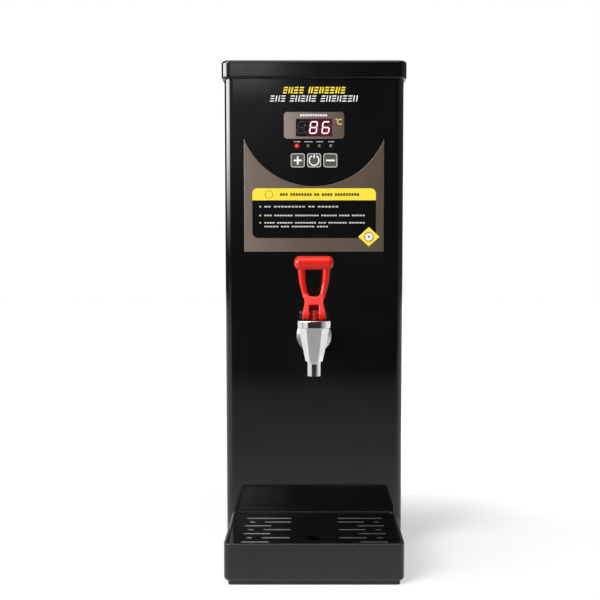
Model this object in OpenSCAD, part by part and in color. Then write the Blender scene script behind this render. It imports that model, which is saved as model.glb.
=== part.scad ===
// Countertop hot water dispenser with a lever tap and a pull-out drip tray.
// Millimetres. The front faces -Y, +X is the viewer's right and the table is at z = 0.

/* [Casing] */
// Width of the casing
body_w = 190; // [174:1:230]
// Depth of the casing
body_d = 240; // [224:1:300]
// Height from the table to the top of the lid
total_h = 522; // [500:1:600]
// Thickness of the casing sheet
sheet = 1.2; // [0.8:0.1:2]
// Outside radius of the front bends
bend_r = 9.5; // [4:0.5:12]
// Width of the casing's inward flanges
flange_w = 14; // [12:1:18]
// Thickness of the base plate
base_t = 1.5; // [1:0.1:3]
// Height of the rubber feet
foot_h = 8; // [6:0.5:14]
// Radius of a rubber foot at its top
foot_r = 11; // [8:0.5:14]
// Distance from a foot's centre to the casing's edges
foot_inset = 25; // [20:1:32]

/* [Lid] */
// Height of the lid's skirt
lid_h = 19; // [14:0.5:30]
// Wall of the lid
lid_wall = 2.5; // [1.8:0.1:3.5]
// Gap between the lid and the casing
lid_clear = 0.25; // [0.15:0.05:0.6]
// Radius of the lid's front corners
lid_corner_r = 9.5; // [6:0.1:11]
// Radius of the lid's rear corners
lid_back_r = 6.5; // [5:0.1:6.6]
// Radius of the lid's upper edge
lid_top_r = 3; // [1:0.25:4.5]
// Radius of the skirt's lower edge
lid_low_r = 2.2; // [0.5:0.1:2.4]

/* [Front panel] */
// Width of the display bezel
bezel_w = 63.5; // [56:0.1:80]
// Height of the display bezel
bezel_h = 27.9; // [26:0.1:34]
// Corner radius of the bezel
bezel_r = 3.5; // [1:0.5:6]
// Thickness of the bezel and of the information plate
trim_t = 0.8; // [0.4:0.1:1.2]
// Lid to the top of the bezel
bezel_drop = 34.7; // [20:0.1:45]
// Width of the display window
window_w = 38.3; // [34:0.1:44]
// Height of the display window
window_h = 18.4; // [16:0.1:20]
// Window centre below the bezel centre
window_drop = 2.4; // [0:0.1:3]
// Thickness of the window lens
lens_t = 1.6; // [1:0.1:2.5]
// Bezel to the row of lamps
lamp_drop = 7.4; // [5:0.1:12]
// Spacing of the lamps
lamp_pitch = 12; // [8:0.5:16]
// Radius of a lamp
lamp_r = 2; // [1.5:0.1:2.5]
// Lamps to the row of keys
key_drop = 15.2; // [13:0.1:22]
// Width and height of a key
key_size = 14.7; // [12:0.1:15.4]
// Corner radius of a key
key_r = 2.6; // [1:0.1:4]
// Spacing of the keys
key_pitch = 17.2; // [16.8:0.1:24]
// Height of a key above the panel
key_proud = 1.1; // [0.8:0.1:2]
// Travel of a key
key_travel = 0.6; // [0.3:0.05:0.7]
// Gap round a key in its hole
key_clear = 0.2; // [0.15:0.05:0.4]
// Width of the lip that keeps a key behind the panel
key_lip = 0.7; // [0.5:0.05:0.8]
// Width of the information plate
plate_w = 148; // [130:1:156]
// Keys to the lowest point of the plate's arched top
plate_drop = 27.1; // [22:0.1:36]
// Height of the plate below its arch
plate_mid_h = 69.2; // [50:0.1:90]
// Radius of the plate's arched top
plate_arc_r = 79.7; // [79:0.1:110]

/* [Control board] */
// Width of the control board
board_w = 96; // [84:1:110]
// Height of the control board
board_h = 74; // [70:1:90]
// Thickness of the circuit boards
board_t = 1.6; // [1:0.1:2.4]
// Length of the control board's standoffs
standoff_l = 12; // [11:0.5:16]
// Height of a key switch with its button
switch_h = 5.6; // [4.5:0.1:6]

/* [Tap] */
// Height of the tap's shank above the table
tap_z = 232.5; // [215:0.5:260]
// Casing to the axis of the spout
tap_reach = 58; // [50:0.5:70]
// Shank axis to the top of the faceted body
cone_up = 13.6; // [11.5:0.1:16]
// Height of the faceted body
cone_h = 33.9; // [30:0.1:40]
// Corner radius of the faceted body at its top
cone_top_r = 15.4; // [15:0.1:17]
// Corner radius of the faceted body at its foot
cone_low_r = 8.5; // [8.2:0.05:10]
// Half distance between flats at the top
flat_top = 13.35; // [13:0.05:14.5]
// Half distance between flats at the foot
flat_low = 7.75; // [7.5:0.05:9]
// Length of the round spout
spout_len = 14.5; // [10:0.1:24]
// Outside radius of the spout
spout_r = 7.1; // [6:0.1:8]
// Bore radius of the spout
spout_bore_r = 4.4; // [3:0.1:5]
// Radius of the bonnet ring
bonnet_r = 17.75; // [16:0.25:20]
// Height of the bonnet ring
bonnet_h = 7.8; // [7:0.1:12]
// Outside radius of the shank between the tap and the panel
shank_r = 9; // [8.6:0.1:10]
// Radius of the shank's threaded part
thread_r = 8; // [7:0.1:8.4]
// Radius of the escutcheon
escutcheon_r = 18.5; // [15:0.5:24]
// Thickness of the escutcheon
escutcheon_t = 4; // [3:0.25:6]
// Thickness of the panel gasket
gasket_t = 1.5; // [1:0.1:3]
// Width across flats of the lock nut
lock_nut_af = 24; // [20:1:28]
// Thickness of the lock nut
lock_nut_t = 7; // [5:0.5:9]
// Radius of the hose barbs
barb_r = 6; // [5:0.1:6.5]
// Wall of the hoses
hose_wall = 2.6; // [1.5:0.1:3.5]

/* [Tap lever] */
// Height of the lever
lever_h = 63.4; // [60:0.1:80]
// Radius of the lever's cross bar
bar_r = 6.8; // [5:0.05:8]
// Half length of the straight part of the cross bar
bar_half = 14.9; // [13:0.1:20]
// Half length of the cross bar over its ends
bar_tip = 19.9; // [18:0.1:26]
// Radius of the lever's two arms at the bar
arm_top_r = 4; // [3.5:0.1:4.5]
// Radius of the arms at their bend
arm_mid_r = 3.3; // [3:0.1:3.8]
// Radius of the arms at the yoke
arm_low_r = 2.9; // [2.6:0.1:3.4]
// Half spacing of the arms at the bar
arm_top_x = 13; // [12:0.1:15]
// Half spacing of the arms at their bend
arm_mid_x = 11.4; // [10:0.1:13]
// Half spacing of the arms at the yoke
arm_low_x = 8.4; // [7.6:0.1:9]
// Height of the arms' bend
arm_mid_z = 36.7; // [34:0.1:42]
// Height of the yoke
yoke_z = 23.3; // [22:0.1:26]
// Corner radius at the foot of the lever's loop
loop_r = 2.8; // [1.5:0.1:3.5]
// Half width of the lever's neck
neck_half = 9.3; // [8.6:0.1:10]
// Height of the neck
neck_z = 16.6; // [15.5:0.1:19]
// Half width of the lever's foot
foot_half = 11.9; // [10.5:0.1:14]
// Width of the fork
fork_w = 9.6; // [8:0.1:10]
// Height of the fork
fork_h = 15; // [12:0.1:15.5]
// Radius of the pivot pin
pin_r = 1.5; // [1.2:0.1:2]
// Height of the pivot pin above the lever's foot
pin_rise = 7; // [6:0.1:8]
// Tilt of the lever in degrees
lever_tilt = 45; // [30:1:60]
// Lift of the stem at full tilt
stem_lift = 4; // [2.5:0.1:4.5]
// Radius of the stem
stem_r = 2.5; // [2:0.1:3]
// Running clearance of pins and stem
run_clear = 0.06; // [0.02:0.01:0.1]
// Gap under the lever's foot
foot_gap = 0.3; // [0.2:0.05:0.6]
// Wire radius of the closing spring
wire_r = 0.6; // [0.4:0.05:0.8]
// Mean coil radius of the closing spring
coil_r = 5.4; // [4.8:0.1:6]
// Turns of the closing spring
coil_turns = 6; // [4:1:8]

/* [Drip tray] */
// Casing to the front of the tray
tray_out = 106; // [98:1:130]
// Width of the tray
tray_w = 175; // [160:1:190]
// Height of the tray's rim
tray_h = 41.3; // [36:0.1:50]
// Wall of the tray
tray_wall = 3; // [2:0.1:4]
// Floor of the tray
tray_floor = 2.5; // [1.5:0.1:4]
// Radius of the tray's upright corners
tray_corner_r = 7; // [5:0.5:12]
// Radius of the tray's lower edge
tray_low_r = 4; // [2:0.25:4.8]
// Width of the ledge that carries the grid
ledge_w = 2.5; // [1.5:0.1:4]
// Height of the pads under the tray
pad_h = 4.1; // [3:0.1:6]
// Gap between the tray and the casing
tray_gap = 0.4; // [0.3:0.05:1]
// Width of a locating tongue
tongue_w = 22; // [14:1:30]
// Length of a locating tongue
tongue_l = 9; // [6:0.5:12]
// Thickness of a locating tongue
tongue_t = 3; // [2:0.1:4]
// Height of the tongues above the table
tongue_z = 22; // [20:0.5:28]
// Distance of a tongue's centre from the middle
tongue_x = 50; // [35:1:60]

/* [Drip grid] */
// Thickness of the grid
grid_t = 2.4; // [1.6:0.1:3.5]
// Grid surface below the tray's rim
grid_drop = 0.8; // [0.4:0.1:2]
// Gap round the grid
grid_clear = 0.4; // [0.3:0.05:0.8]
// Width of a slot
slot_w = 3; // [2:0.1:4]
// Spacing of the slot rows
slot_pitch = 12.3; // [10.5:0.1:13]
// Tray front to the first row of slots
slot_first = 9; // [7:0.1:11]
// Number of slot rows
slot_rows = 7; // [5:1:7]
// Radius of the finger hole
finger_r = 7; // [6:0.25:9]
// Depth of the ribs under the grid
rib_h = 5; // [3:0.5:8]

/* [Tank] */
// Outside radius of the tank
tank_r = 72; // [66:0.5:78]
// Wall of the tank
tank_wall = 1; // [0.8:0.1:2]
// Thickness of the insulating jacket
jacket_t = 8; // [6:0.5:9]
// Width of the tank's rim
rim_w = 7; // [6:0.5:9]
// Thickness of the tank's rim
rim_t = 2; // [1.5:0.1:3]
// Thickness of the tank cover
cover_t = 1.5; // [1:0.1:3]
// Thickness of the cover gasket
cover_gasket_t = 2; // [1:0.1:3]
// Casing front to the jacket
front_bay = 44; // [42:0.5:50]
// Lid top to the tank's rim
headroom = 46; // [42:0.5:60]
// Tank bottom to the outlet
outlet_rise = 28; // [20:0.5:40]
// Tank wall to the axis of the bottom ports
port_inset = 14; // [12:0.5:18]
// Length of the bottom ports
port_l = 20; // [16:0.5:26]
// Radius of the heating element's plug
plug_r = 15; // [12:0.5:18]
// Height of the heating loops
loop_h = 90; // [60:1:120]
// Length of the level probe rods below the cover
probe_l = 150; // [80:5:200]
// Thickness of the tank stand's sheet
stand_t = 1.5; // [1:0.1:2.5]

/* [Rear connections] */
// Radius of the water inlet thread
nipple_r = 10.48; // [8:0.01:12]
// Length of the inlet nipple behind the casing
nipple_len = 22; // [20:0.5:30]
// Thickness of the inlet lock nut
inlet_nut_t = 6; // [4:0.5:8]
// Height of the inlet and drain
inlet_z = 70; // [55:1:100]
// Height of the cord gland
gland_z = 40; // [34:1:45]
// Bore radius of the cord gland
gland_bore_r = 4; // [3:0.1:5]
// Radius of the cord gland's thread
gland_r = 8; // [7:0.1:10]
// Radius of the drain fitting
drain_r = 8; // [7.5:0.1:10]
// Number of louvre slots in the rear panel
louvre_rows = 9; // [4:1:12]
// Width of a louvre slot
louvre_w = 90; // [50:1:120]

/* [Hidden] */
$fn = 64;
eps = 0.01;

// places that follow from the sizes above
depth_all = tray_out + body_d + nipple_len;
y_front = tray_out - depth_all / 2;
y_back = y_front + body_d;
shell_z0 = foot_h + base_t;
shell_z1 = total_h - lid_wall;
lid_z0 = total_h - lid_h;
lid_over = lid_clear + lid_wall;
y_inside = y_front + sheet;
y_rear_in = y_back - sheet;

bezel_z = lid_z0 - bezel_drop - bezel_h / 2;
window_z = bezel_z - window_drop;
lamp_z = bezel_z - bezel_h / 2 - lamp_drop;
key_z = lamp_z - key_drop;
plate_arch_z = key_z - plate_drop;
plate_z0 = plate_arch_z - plate_mid_h;
board_y = y_inside + standoff_l;
board_z = (bezel_z + key_z) / 2;
lens_sink = 0.2;
lens_y = y_front - trim_t + lens_sink;
key_lip_t = 1;
key_lip_gap = 0.25;
switch_spare = 0.2;
switch_gap = key_travel + switch_spare;
stud_inset = 5;
stud_r = 3;
stud_hole_l = 8;
board_screw_r = 1.4;

y_tap = y_front - tap_reach;
cone_z1 = tap_z + cone_up;
cone_z0 = cone_z1 - cone_h;
spout_z0 = cone_z0 - spout_len;
bonnet_z1 = cone_z1 + bonnet_h;
bonnet_cap_t = 4;
bonnet_sleeve_l = 6;
bonnet_wall = 2.4;
cavity_wall = 2.2;
seat_z = cone_z0 + 10;
seat_ring_h = 1.5;
cup_r = 6.4;
cup_h = 7;
cup_gap = 0.1;
cup_z0 = seat_z + seat_ring_h + cup_gap;
shank_shoulder_y = y_front - gasket_t - escutcheon_t;
shank_end_y = y_inside + lock_nut_t + 5;
tank_y = y_front + front_bay + jacket_t + tank_r;
barb_l = 14;
hose_y1 = y_front + front_bay - 1;

lever_z = bonnet_z1 + foot_gap;
pin_z = lever_z + pin_rise;
cam_k = stem_lift / (lever_tilt * PI / 180);
cam_overrun = 8;
heel = 7;
ball_extra = 0.08;
eye_r = 3.6;
eye_side = 0.5;

tray_len = tray_out - tray_gap;
tray_y = y_front - tray_gap - tray_len / 2;
tray_front = y_front - tray_out;
pad_l = 9;
pad_r = 3;
tongue_clear = 0.8;
grid_z1 = tray_h - grid_drop;
grid_z0 = grid_z1 - grid_t;
grid_w = tray_w - 2 * (tray_wall + grid_clear);
grid_l = tray_len - 2 * (tray_wall + grid_clear);
grid_corner_r = tray_corner_r - tray_wall - grid_clear;

jacket_r = tank_r + jacket_t;
tank_z0 = tap_z - outlet_rise;
rim_z1 = total_h - headroom;
rim_z0 = rim_z1 - rim_t;
rim_r = tank_r + rim_w;
cover_z0 = rim_z1 + cover_gasket_t;
cover_z1 = cover_z0 + cover_t;
tank_floor_t = 1.5;
port_r = tank_r - port_inset;
port_x = port_r * sin(45);
port_y = tank_y + port_r * cos(45);
port_end_z = tank_z0 - port_l;
bore_wall = 1.5;
stand_half = tank_r - 5;
stand_z1 = tank_z0;
stand_foot_w = 16;
base_z1 = shell_z0;
hose_fit = 0.05;
hose_ri = barb_r + hose_fit;
hose_ro = hose_ri + hose_wall;
bend_path_r = 20;

screw_r = 1.7;
hole_clear = 0.2;
screw_hole_r = screw_r + hole_clear;
screw_tail = 1.8;
rear_rows = 4;
rear_screw_low = 30;
rear_screw_high = 50;
louvre_drop = 70;
louvre_h = 4;
louvre_step = 11;
rear_screw_l = 8;
lid_screw_inset = 35;
lid_screw_x = body_w / 2 - lid_screw_inset;
foot_web = 3;
foot_screw_r = 2;
foot_nut_h = 3.2;

vent_offset = 45;
probe_offset = 24;
level_probe_r = 1.5;
bush_r = 4;
warm_probe_r = 3;
over_loops = 40;
cutout_r = 8;
spigot_grip = 10;
valve_r = 12;
valve_rise = 24;
hose_back = 2;
inlet_step = 0.8;
inlet_shank_r = nipple_r + inlet_step;
inlet_shank_y = y_back + inlet_nut_t + 0.3;
power_w = 90;
power_l = 70;
power_post = 8;
power_forward = 18;
power_y = tank_y - power_forward;

// slots of a grid row, from the outer end inwards as [gap before, length]
wide_slots = [[12.4, 27.7]];
mixed_slots = [[16.4, 6.2], [9.5, 27.8]];
back_slots = [[12.4, 47.5]];

// Flat rounded rectangle, centred
module rounded_plan(w, d, r) {
    square([w - 2 * r, d], center = true);
    square([w, d - 2 * r], center = true);
    for (sx = [-1, 1], sy = [-1, 1])
        translate([sx * (w / 2 - r), sy * (d / 2 - r)]) circle(r);
}

// Upright rounded plate, its front at y = 0 and its back at y = t
module upright_plate(w, h, r, t) {
    translate([0, t, 0]) rotate([90, 0, 0]) linear_extrude(t) rounded_plan(w, h, r);
}

// Round bar along +Y
module bar_y(r, l) {
    rotate([-90, 0, 0]) cylinder(r = r, h = l);
}

// Outline drawn in Y and Z, extruded along X about the middle
module extrude_x(l) {
    rotate([90, 0, 90]) linear_extrude(l, center = true) children();
}

// Section of a block's edge with a round upper and lower outer corner
module edge_section(r, h, top_r, low_r) {
    difference() {
        square([r, h]);
        translate([r - top_r, h - top_r]) difference() {
            square(top_r + eps);
            circle(top_r);
        }
        translate([r - low_r, low_r]) mirror([0, 1]) difference() {
            square(low_r + eps);
            circle(low_r);
        }
    }
}

// Block with upright corners of radius r and round upper and lower edges
module soft_block(w, d, h, r, top_r, low_r) {
    translate([-w / 2 + r, -d / 2 + r, 0]) cube([w - 2 * r, d - 2 * r, h]);
    for (turn = [0, 90, 180, 270]) {
        long_x = (turn == 0 || turn == 180);
        run = (long_x ? w : d) - 2 * r;
        side = (long_x ? d : w) / 2 - r;
        rotate([0, 0, turn]) translate([run / 2, side, 0]) {
            rotate_extrude(angle = 90) edge_section(r, h, top_r, low_r);
            rotate([90, 0, -90]) mirror([1, 0, 0]) linear_extrude(run)
                edge_section(r, h, top_r, low_r);
        }
    }
}

// Plan of the casing, round at the front corners and square at the back
module casing_plan(grow, y_end) {
    w = body_w + 2 * grow;
    r = max(bend_r + grow, eps);
    y0 = y_front - grow;
    translate([-w / 2, y0 + r]) square([w, y_end - y0 - r]);
    translate([-w / 2 + r, y0]) square([w - 2 * r, r + eps]);
    for (sx = [-1, 1]) translate([sx * (w / 2 - r), y0 + r]) circle(r);
}

// Front and side walls of the casing in plan
module wall_plan(t) {
    difference() {
        casing_plan(0, y_rear_in);
        casing_plan(-t, y_back);
    }
}

// Screw along Z, head up, its seat at z = 0
module pan_screw(l) {
    head_r = 3.4;
    head_h = 2.2;
    cylinder(r1 = head_r, r2 = head_r - 0.9, h = head_h);
    translate([0, 0, -l]) cylinder(r = screw_r, h = l + eps);
}

// Tube along Z
module tube(ro, ri, h) {
    difference() {
        cylinder(r = ro, h = h);
        translate([0, 0, -eps]) cylinder(r = ri, h = h + 2 * eps);
    }
}

module at_rear_screws() {
    span = shell_z1 - shell_z0 - rear_screw_low - rear_screw_high;
    for (sx = [-1, 1], i = [0 : rear_rows - 1])
        translate([sx * (body_w - flange_w) / 2, 0,
            shell_z0 + rear_screw_low + i * span / (rear_rows - 1)]) children();
}

module at_lid_screws() {
    for (sx = [-1, 1]) translate([sx * lid_screw_x, 0, lid_z0 + lid_h / 2 - 1]) children();
}

module at_feet() {
    for (sx = [-1, 1], y = [y_front + foot_inset, y_back - foot_inset])
        translate([sx * (body_w / 2 - foot_inset), y, 0]) children();
}

module at_keys() {
    for (i = [-1 : 1]) translate([i * key_pitch, 0, key_z]) children();
}

module at_lamps() {
    for (i = [-1.5 : 1.5]) translate([i * lamp_pitch, 0, lamp_z]) children();
}

module at_board_studs() {
    for (sx = [-1, 1], sz = [-1, 1])
        translate([sx * (board_w / 2 - stud_inset), 0, board_z + sz * (board_h / 2 - stud_inset)])
            children();
}

module at_tongues() {
    for (sx = [-1, 1]) translate([sx * tongue_x, 0, tongue_z]) children();
}

module at_stand_screws() {
    for (sx = [-1, 1], sy = [-1, 1])
        translate([sx * (stand_half - stand_foot_w / 2 - 1), tank_y + sy * (stand_half - 15), 0])
            children();
}

module at_cover_screws() {
    for (a = [30 : 60 : 330])
        translate([0, tank_y, 0]) rotate([0, 0, a]) translate([tank_r + rim_w / 2, 0, 0]) children();
}

module at_probes() {
    for (a = [90, 210, 330])
        translate([0, tank_y, 0]) rotate([0, 0, a]) translate([probe_offset, 0, 0]) children();
}

module body_shell() {
    h = shell_z1 - shell_z0;
    hole_depth = sheet + 2;
    color("black") difference() {
        union() {
            translate([0, 0, shell_z0]) linear_extrude(h) wall_plan(sheet);
            translate([0, 0, shell_z0]) linear_extrude(sheet) wall_plan(flange_w);
            translate([0, 0, shell_z1 - sheet]) linear_extrude(sheet) wall_plan(flange_w);
            for (x0 = [-body_w / 2, body_w / 2 - flange_w])
                translate([x0, y_rear_in - sheet, shell_z0]) cube([flange_w, sheet, h]);
        }
        translate([0, y_front - 1, window_z])
            upright_plate(window_w + 0.4, window_h + 0.4, 0.6, hole_depth);
        at_lamps() translate([0, y_front - 1, 0]) bar_y(lamp_r + key_clear, hole_depth);
        at_keys() translate([0, y_front - 1, 0])
            upright_plate(key_size + 2 * key_clear, key_size + 2 * key_clear, key_r, hole_depth);
        translate([0, y_front - 1, tap_z]) bar_y(thread_r + hole_clear, hole_depth);
        at_tongues() translate([0, y_front - 1, 0])
            upright_plate(tongue_w + 2 * tongue_clear, tongue_t + 2 * tongue_clear, 1, hole_depth);
        at_rear_screws() translate([0, y_rear_in - 3, 0]) bar_y(screw_hole_r, 6);
    }
}

module rear_panel() {
    h = shell_z1 - shell_z0;
    color("dimgray") difference() {
        translate([-body_w / 2, y_rear_in, shell_z0]) cube([body_w, sheet, h]);
        at_rear_screws() translate([0, y_rear_in - 1, 0]) bar_y(screw_hole_r, sheet + 2);
        at_lid_screws() translate([0, y_rear_in - 1, 0]) bar_y(screw_hole_r, sheet + 2);
        for (i = [0 : louvre_rows - 1])
            translate([0, y_rear_in - 1, shell_z1 - louvre_drop - i * louvre_step])
                upright_plate(louvre_w, louvre_h, louvre_h / 2 - eps, sheet + 2);
        translate([-port_x, y_rear_in - 1, inlet_z]) bar_y(inlet_shank_r + hole_clear, sheet + 2);
        translate([port_x, y_rear_in - 1, inlet_z]) bar_y(drain_r + hole_clear, sheet + 2);
        translate([0, y_rear_in - 1, gland_z]) bar_y(gland_r + hole_clear, sheet + 2);
    }
}

module base_plate() {
    vent_l = 50;
    vent_w = 4;
    vent_step = 9;
    inset = 0.5;
    color("dimgray") difference() {
        translate([0, 0, foot_h]) linear_extrude(base_t) casing_plan(-inset, y_back - inset);
        at_feet() translate([0, 0, foot_h - 1]) cylinder(r = foot_screw_r + hole_clear, h = base_t + 2);
        at_stand_screws() translate([0, 0, foot_h - 1]) cylinder(r = screw_hole_r, h = base_t + 2);
        for (i = [-4 : 4]) translate([i * vent_step, tank_y, foot_h - 1])
            linear_extrude(base_t + 2) rounded_plan(vent_w, vent_l, vent_w / 2 - eps);
    }
}

// Front or rear half of the lid's block, from y0 on, with its own corner radius
module lid_half(w, d, r, y0) {
    intersection() {
        soft_block(w, d, lid_h, r, lid_top_r, lid_low_r);
        translate([-w / 2 - 1, y0, -1]) cube([w + 2, d / 2 + 1, lid_h + 2]);
    }
}

module lid() {
    w = body_w + 2 * lid_over;
    d = body_d + 2 * lid_over;
    color("black") difference() {
        translate([0, y_front + body_d / 2, lid_z0]) {
            lid_half(w, d, lid_corner_r, -d / 2 - 1);
            lid_half(w, d, lid_back_r, -eps);
        }
        translate([0, 0, lid_z0 - eps]) linear_extrude(lid_h - lid_wall + eps)
            casing_plan(lid_clear, y_back + lid_clear);
        at_lid_screws() translate([0, y_back, 0]) bar_y(screw_hole_r, lid_over + 1);
    }
}

module feet() {
    taper = 1.5;
    recess_r = 5;
    color("black") at_feet() difference() {
        cylinder(r1 = foot_r - taper, r2 = foot_r, h = foot_h);
        translate([0, 0, -eps]) cylinder(r = recess_r, h = foot_h - foot_web + eps);
        cylinder(r = foot_screw_r + hole_clear, h = foot_h + 1);
    }
}

module foot_screws() {
    head_r = 4;
    head_h = 2.4;
    shank_l = foot_web + base_t + foot_nut_h + screw_tail;
    color("silver") at_feet() translate([0, 0, foot_h - foot_web]) {
        translate([0, 0, -head_h]) cylinder(r = head_r, h = head_h);
        translate([0, 0, -eps]) cylinder(r = foot_screw_r, h = shank_l);
    }
}

module foot_nuts() {
    nut_r = 4.6;
    color("silver") at_feet() translate([0, 0, base_z1]) difference() {
        cylinder(r = nut_r, h = foot_nut_h, $fn = 6);
        translate([0, 0, -1]) cylinder(r = foot_screw_r + run_clear, h = foot_nut_h + 2);
    }
}

module rear_screws() {
    color("silver") at_rear_screws() translate([0, y_back, 0]) rotate([-90, 0, 0]) pan_screw(rear_screw_l);
}

module lid_screws() {
    color("silver") at_lid_screws() translate([0, y_back + lid_over, 0]) rotate([-90, 0, 0])
        pan_screw(lid_over + sheet + 4);
}

module info_plate() {
    arc_z = plate_arch_z + plate_arc_r;
    tip_z = arc_z - sqrt(plate_arc_r * plate_arc_r - plate_w * plate_w / 4);
    color("rosybrown") translate([0, y_front, 0]) rotate([90, 0, 0]) linear_extrude(trim_t)
        difference() {
            translate([-plate_w / 2, plate_z0]) square([plate_w, tip_z - plate_z0]);
            translate([0, arc_z]) circle(plate_arc_r, $fn = 180);
        }
}

module display_bezel() {
    color("rosybrown") difference() {
        translate([0, y_front - trim_t, bezel_z]) upright_plate(bezel_w, bezel_h, bezel_r, trim_t);
        translate([0, y_front - trim_t - 1, window_z])
            upright_plate(window_w, window_h, 0.6, trim_t + 2);
    }
}

module display_window() {
    edge = 0.1;
    color("maroon") translate([0, lens_y, window_z])
        upright_plate(window_w - 2 * edge, window_h - 2 * edge, 0.5, lens_t);
}

module indicator_lamps() {
    dome = 0.9;
    color("red") at_lamps() translate([0, y_front - dome, 0]) {
        translate([0, lamp_r, 0]) sphere(lamp_r);
        translate([0, lamp_r, 0]) bar_y(lamp_r, board_y - y_front + dome - lamp_r);
        translate([0, sheet + dome + 1, 0]) bar_y(lamp_r + 0.5, 1);
    }
}

// One key cap with its lip behind the panel and its plunger
module key_cap(i) {
    lip_y = y_inside + key_lip_gap;
    plunger_r = 2.5;
    plunger_end = board_y - switch_h - switch_gap;
    translate([i * key_pitch, 0, key_z]) {
        translate([0, y_front - key_proud, 0]) difference() {
            upright_plate(key_size, key_size, key_r - key_clear, key_proud + sheet + key_lip_gap + eps);
            translate([0, -1, 0]) upright_plate(key_size - 2, key_size - 2, key_r - 1, 1.3);
        }
        translate([0, lip_y, 0])
            upright_plate(key_size + 2 * key_lip, key_size + 2 * key_lip, key_r, key_lip_t);
        translate([0, lip_y, 0]) bar_y(plunger_r, plunger_end - lip_y);
    }
}

module button_plus() {
    color("gray") key_cap(-1);
}

module button_power() {
    color("gray") key_cap(0);
}

module button_minus() {
    color("gray") key_cap(1);
}

module control_board() {
    chip = 14;
    chip_t = 2;
    plug = [22, 9, 8];
    plug_in = 18;
    back_y = board_y + board_t - eps;
    z0 = board_z - board_h / 2;
    color("darkgreen") difference() {
        union() {
            translate([-board_w / 2, board_y, z0]) cube([board_w, board_t, board_h]);
            translate([-chip / 2, back_y, board_z - chip / 2]) cube([chip, chip_t, chip]);
            translate([board_w / 2 - plug_in - plug[0], back_y, z0 + plug[2]]) cube(plug);
        }
        at_board_studs() translate([0, board_y - 1, 0]) bar_y(screw_r, board_t + 2);
    }
}

module display_module() {
    y0 = lens_y + lens_t + 0.1;
    w = window_w - 0.6;
    h = window_h - 0.4;
    color("black") translate([-w / 2, y0, window_z - h / 2]) cube([w, board_y - y0, h]);
}

module key_switches() {
    base = 12;
    base_h = 3.5;
    button_r = 3;
    color("darkgray") at_keys() {
        translate([-base / 2, board_y - base_h, -base / 2]) cube([base, base_h, base]);
        translate([0, board_y - switch_h, 0]) bar_y(button_r, switch_h - base_h + eps);
    }
}

module board_standoffs() {
    color("gold") at_board_studs() translate([0, y_inside, 0]) difference() {
        bar_y(stud_r, standoff_l);
        translate([0, standoff_l - stud_hole_l, 0]) bar_y(board_screw_r + run_clear, stud_hole_l + 1);
    }
}

module board_screws() {
    head_r = 2.8;
    head_h = 2;
    l = board_t + stud_hole_l - 2;
    color("silver") at_board_studs() translate([0, board_y + board_t, 0]) {
        bar_y(head_r, head_h);
        translate([0, -l, 0]) bar_y(board_screw_r, l + eps);
    }
}

// Two opposite flats of the faceted tap body
module flat_pair() {
    extrude_x(2 * cone_top_r + 4)
        polygon([[-flat_low, 0], [flat_low, 0], [flat_top, cone_h], [-flat_top, cone_h]]);
}

module tap_body() {
    shoulder_h = 2.4;
    crown_h = 1.6;
    crown_in = 1.4;
    bore_r = 5;
    cavity_low_r = flat_low + (flat_top - flat_low) * (seat_z - cone_z0) / cone_h - cavity_wall;
    cavity_top_r = flat_top - cavity_wall;
    color("silver") difference() {
        union() {
            translate([0, y_tap, cone_z0]) intersection() {
                union() {
                    cylinder(r1 = cone_low_r, r2 = cone_top_r, h = cone_h - crown_h);
                    translate([0, 0, cone_h - crown_h - eps])
                        cylinder(r1 = cone_top_r, r2 = cone_top_r - crown_in, h = crown_h + eps);
                }
                flat_pair();
                rotate([0, 0, 60]) flat_pair();
                rotate([0, 0, 120]) flat_pair();
            }
            translate([0, y_tap, cone_z0 - shoulder_h])
                cylinder(r1 = spout_r, r2 = flat_low - 0.2, h = shoulder_h + eps);
            translate([0, y_tap, spout_z0]) cylinder(r = spout_r, h = spout_len - shoulder_h + eps);
            translate([0, y_tap, tap_z]) bar_y(shank_r, shank_shoulder_y - y_tap);
            translate([0, shank_shoulder_y - eps, tap_z]) bar_y(thread_r, shank_end_y - shank_shoulder_y);
            translate([0, shank_end_y - 2 * eps, tap_z]) bar_y(barb_r, barb_l);
        }
        translate([0, y_tap, seat_z])
            cylinder(r1 = cavity_low_r, r2 = cavity_top_r, h = cone_z1 - seat_z + eps);
        translate([0, y_tap, spout_z0 - 1]) cylinder(r = spout_bore_r, h = seat_z - spout_z0 + 2);
        translate([0, y_tap, tap_z]) bar_y(bore_r, shank_end_y + barb_l - y_tap + 1);
    }
    color("silver") translate([0, y_tap, seat_z - eps])
        tube(spout_bore_r + 1, spout_bore_r, seat_ring_h + eps);
}

module tap_bonnet() {
    sleeve_r = flat_top - cavity_wall - 1.2;
    color("silver") translate([0, y_tap, cone_z1]) difference() {
        union() {
            rotate_extrude() edge_section(bonnet_r, bonnet_h, 0.8, 0.8);
            translate([0, 0, -bonnet_sleeve_l]) cylinder(r = sleeve_r - 0.6, h = bonnet_sleeve_l + eps);
        }
        translate([0, 0, -bonnet_sleeve_l - eps])
            cylinder(r = sleeve_r - bonnet_wall, h = bonnet_sleeve_l + bonnet_h - bonnet_cap_t);
        cylinder(r = stem_r + run_clear, h = bonnet_h + 1);
    }
}

module tap_escutcheon() {
    rim = 1.2;
    color("silver") translate([0, shank_shoulder_y, tap_z]) rotate([-90, 0, 0]) difference() {
        union() {
            cylinder(r1 = escutcheon_r - 5, r2 = escutcheon_r, h = escutcheon_t - rim);
            translate([0, 0, escutcheon_t - rim - eps]) cylinder(r = escutcheon_r, h = rim + eps);
        }
        translate([0, 0, -1]) cylinder(r = thread_r + hole_clear, h = escutcheon_t + 2);
    }
}

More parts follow.
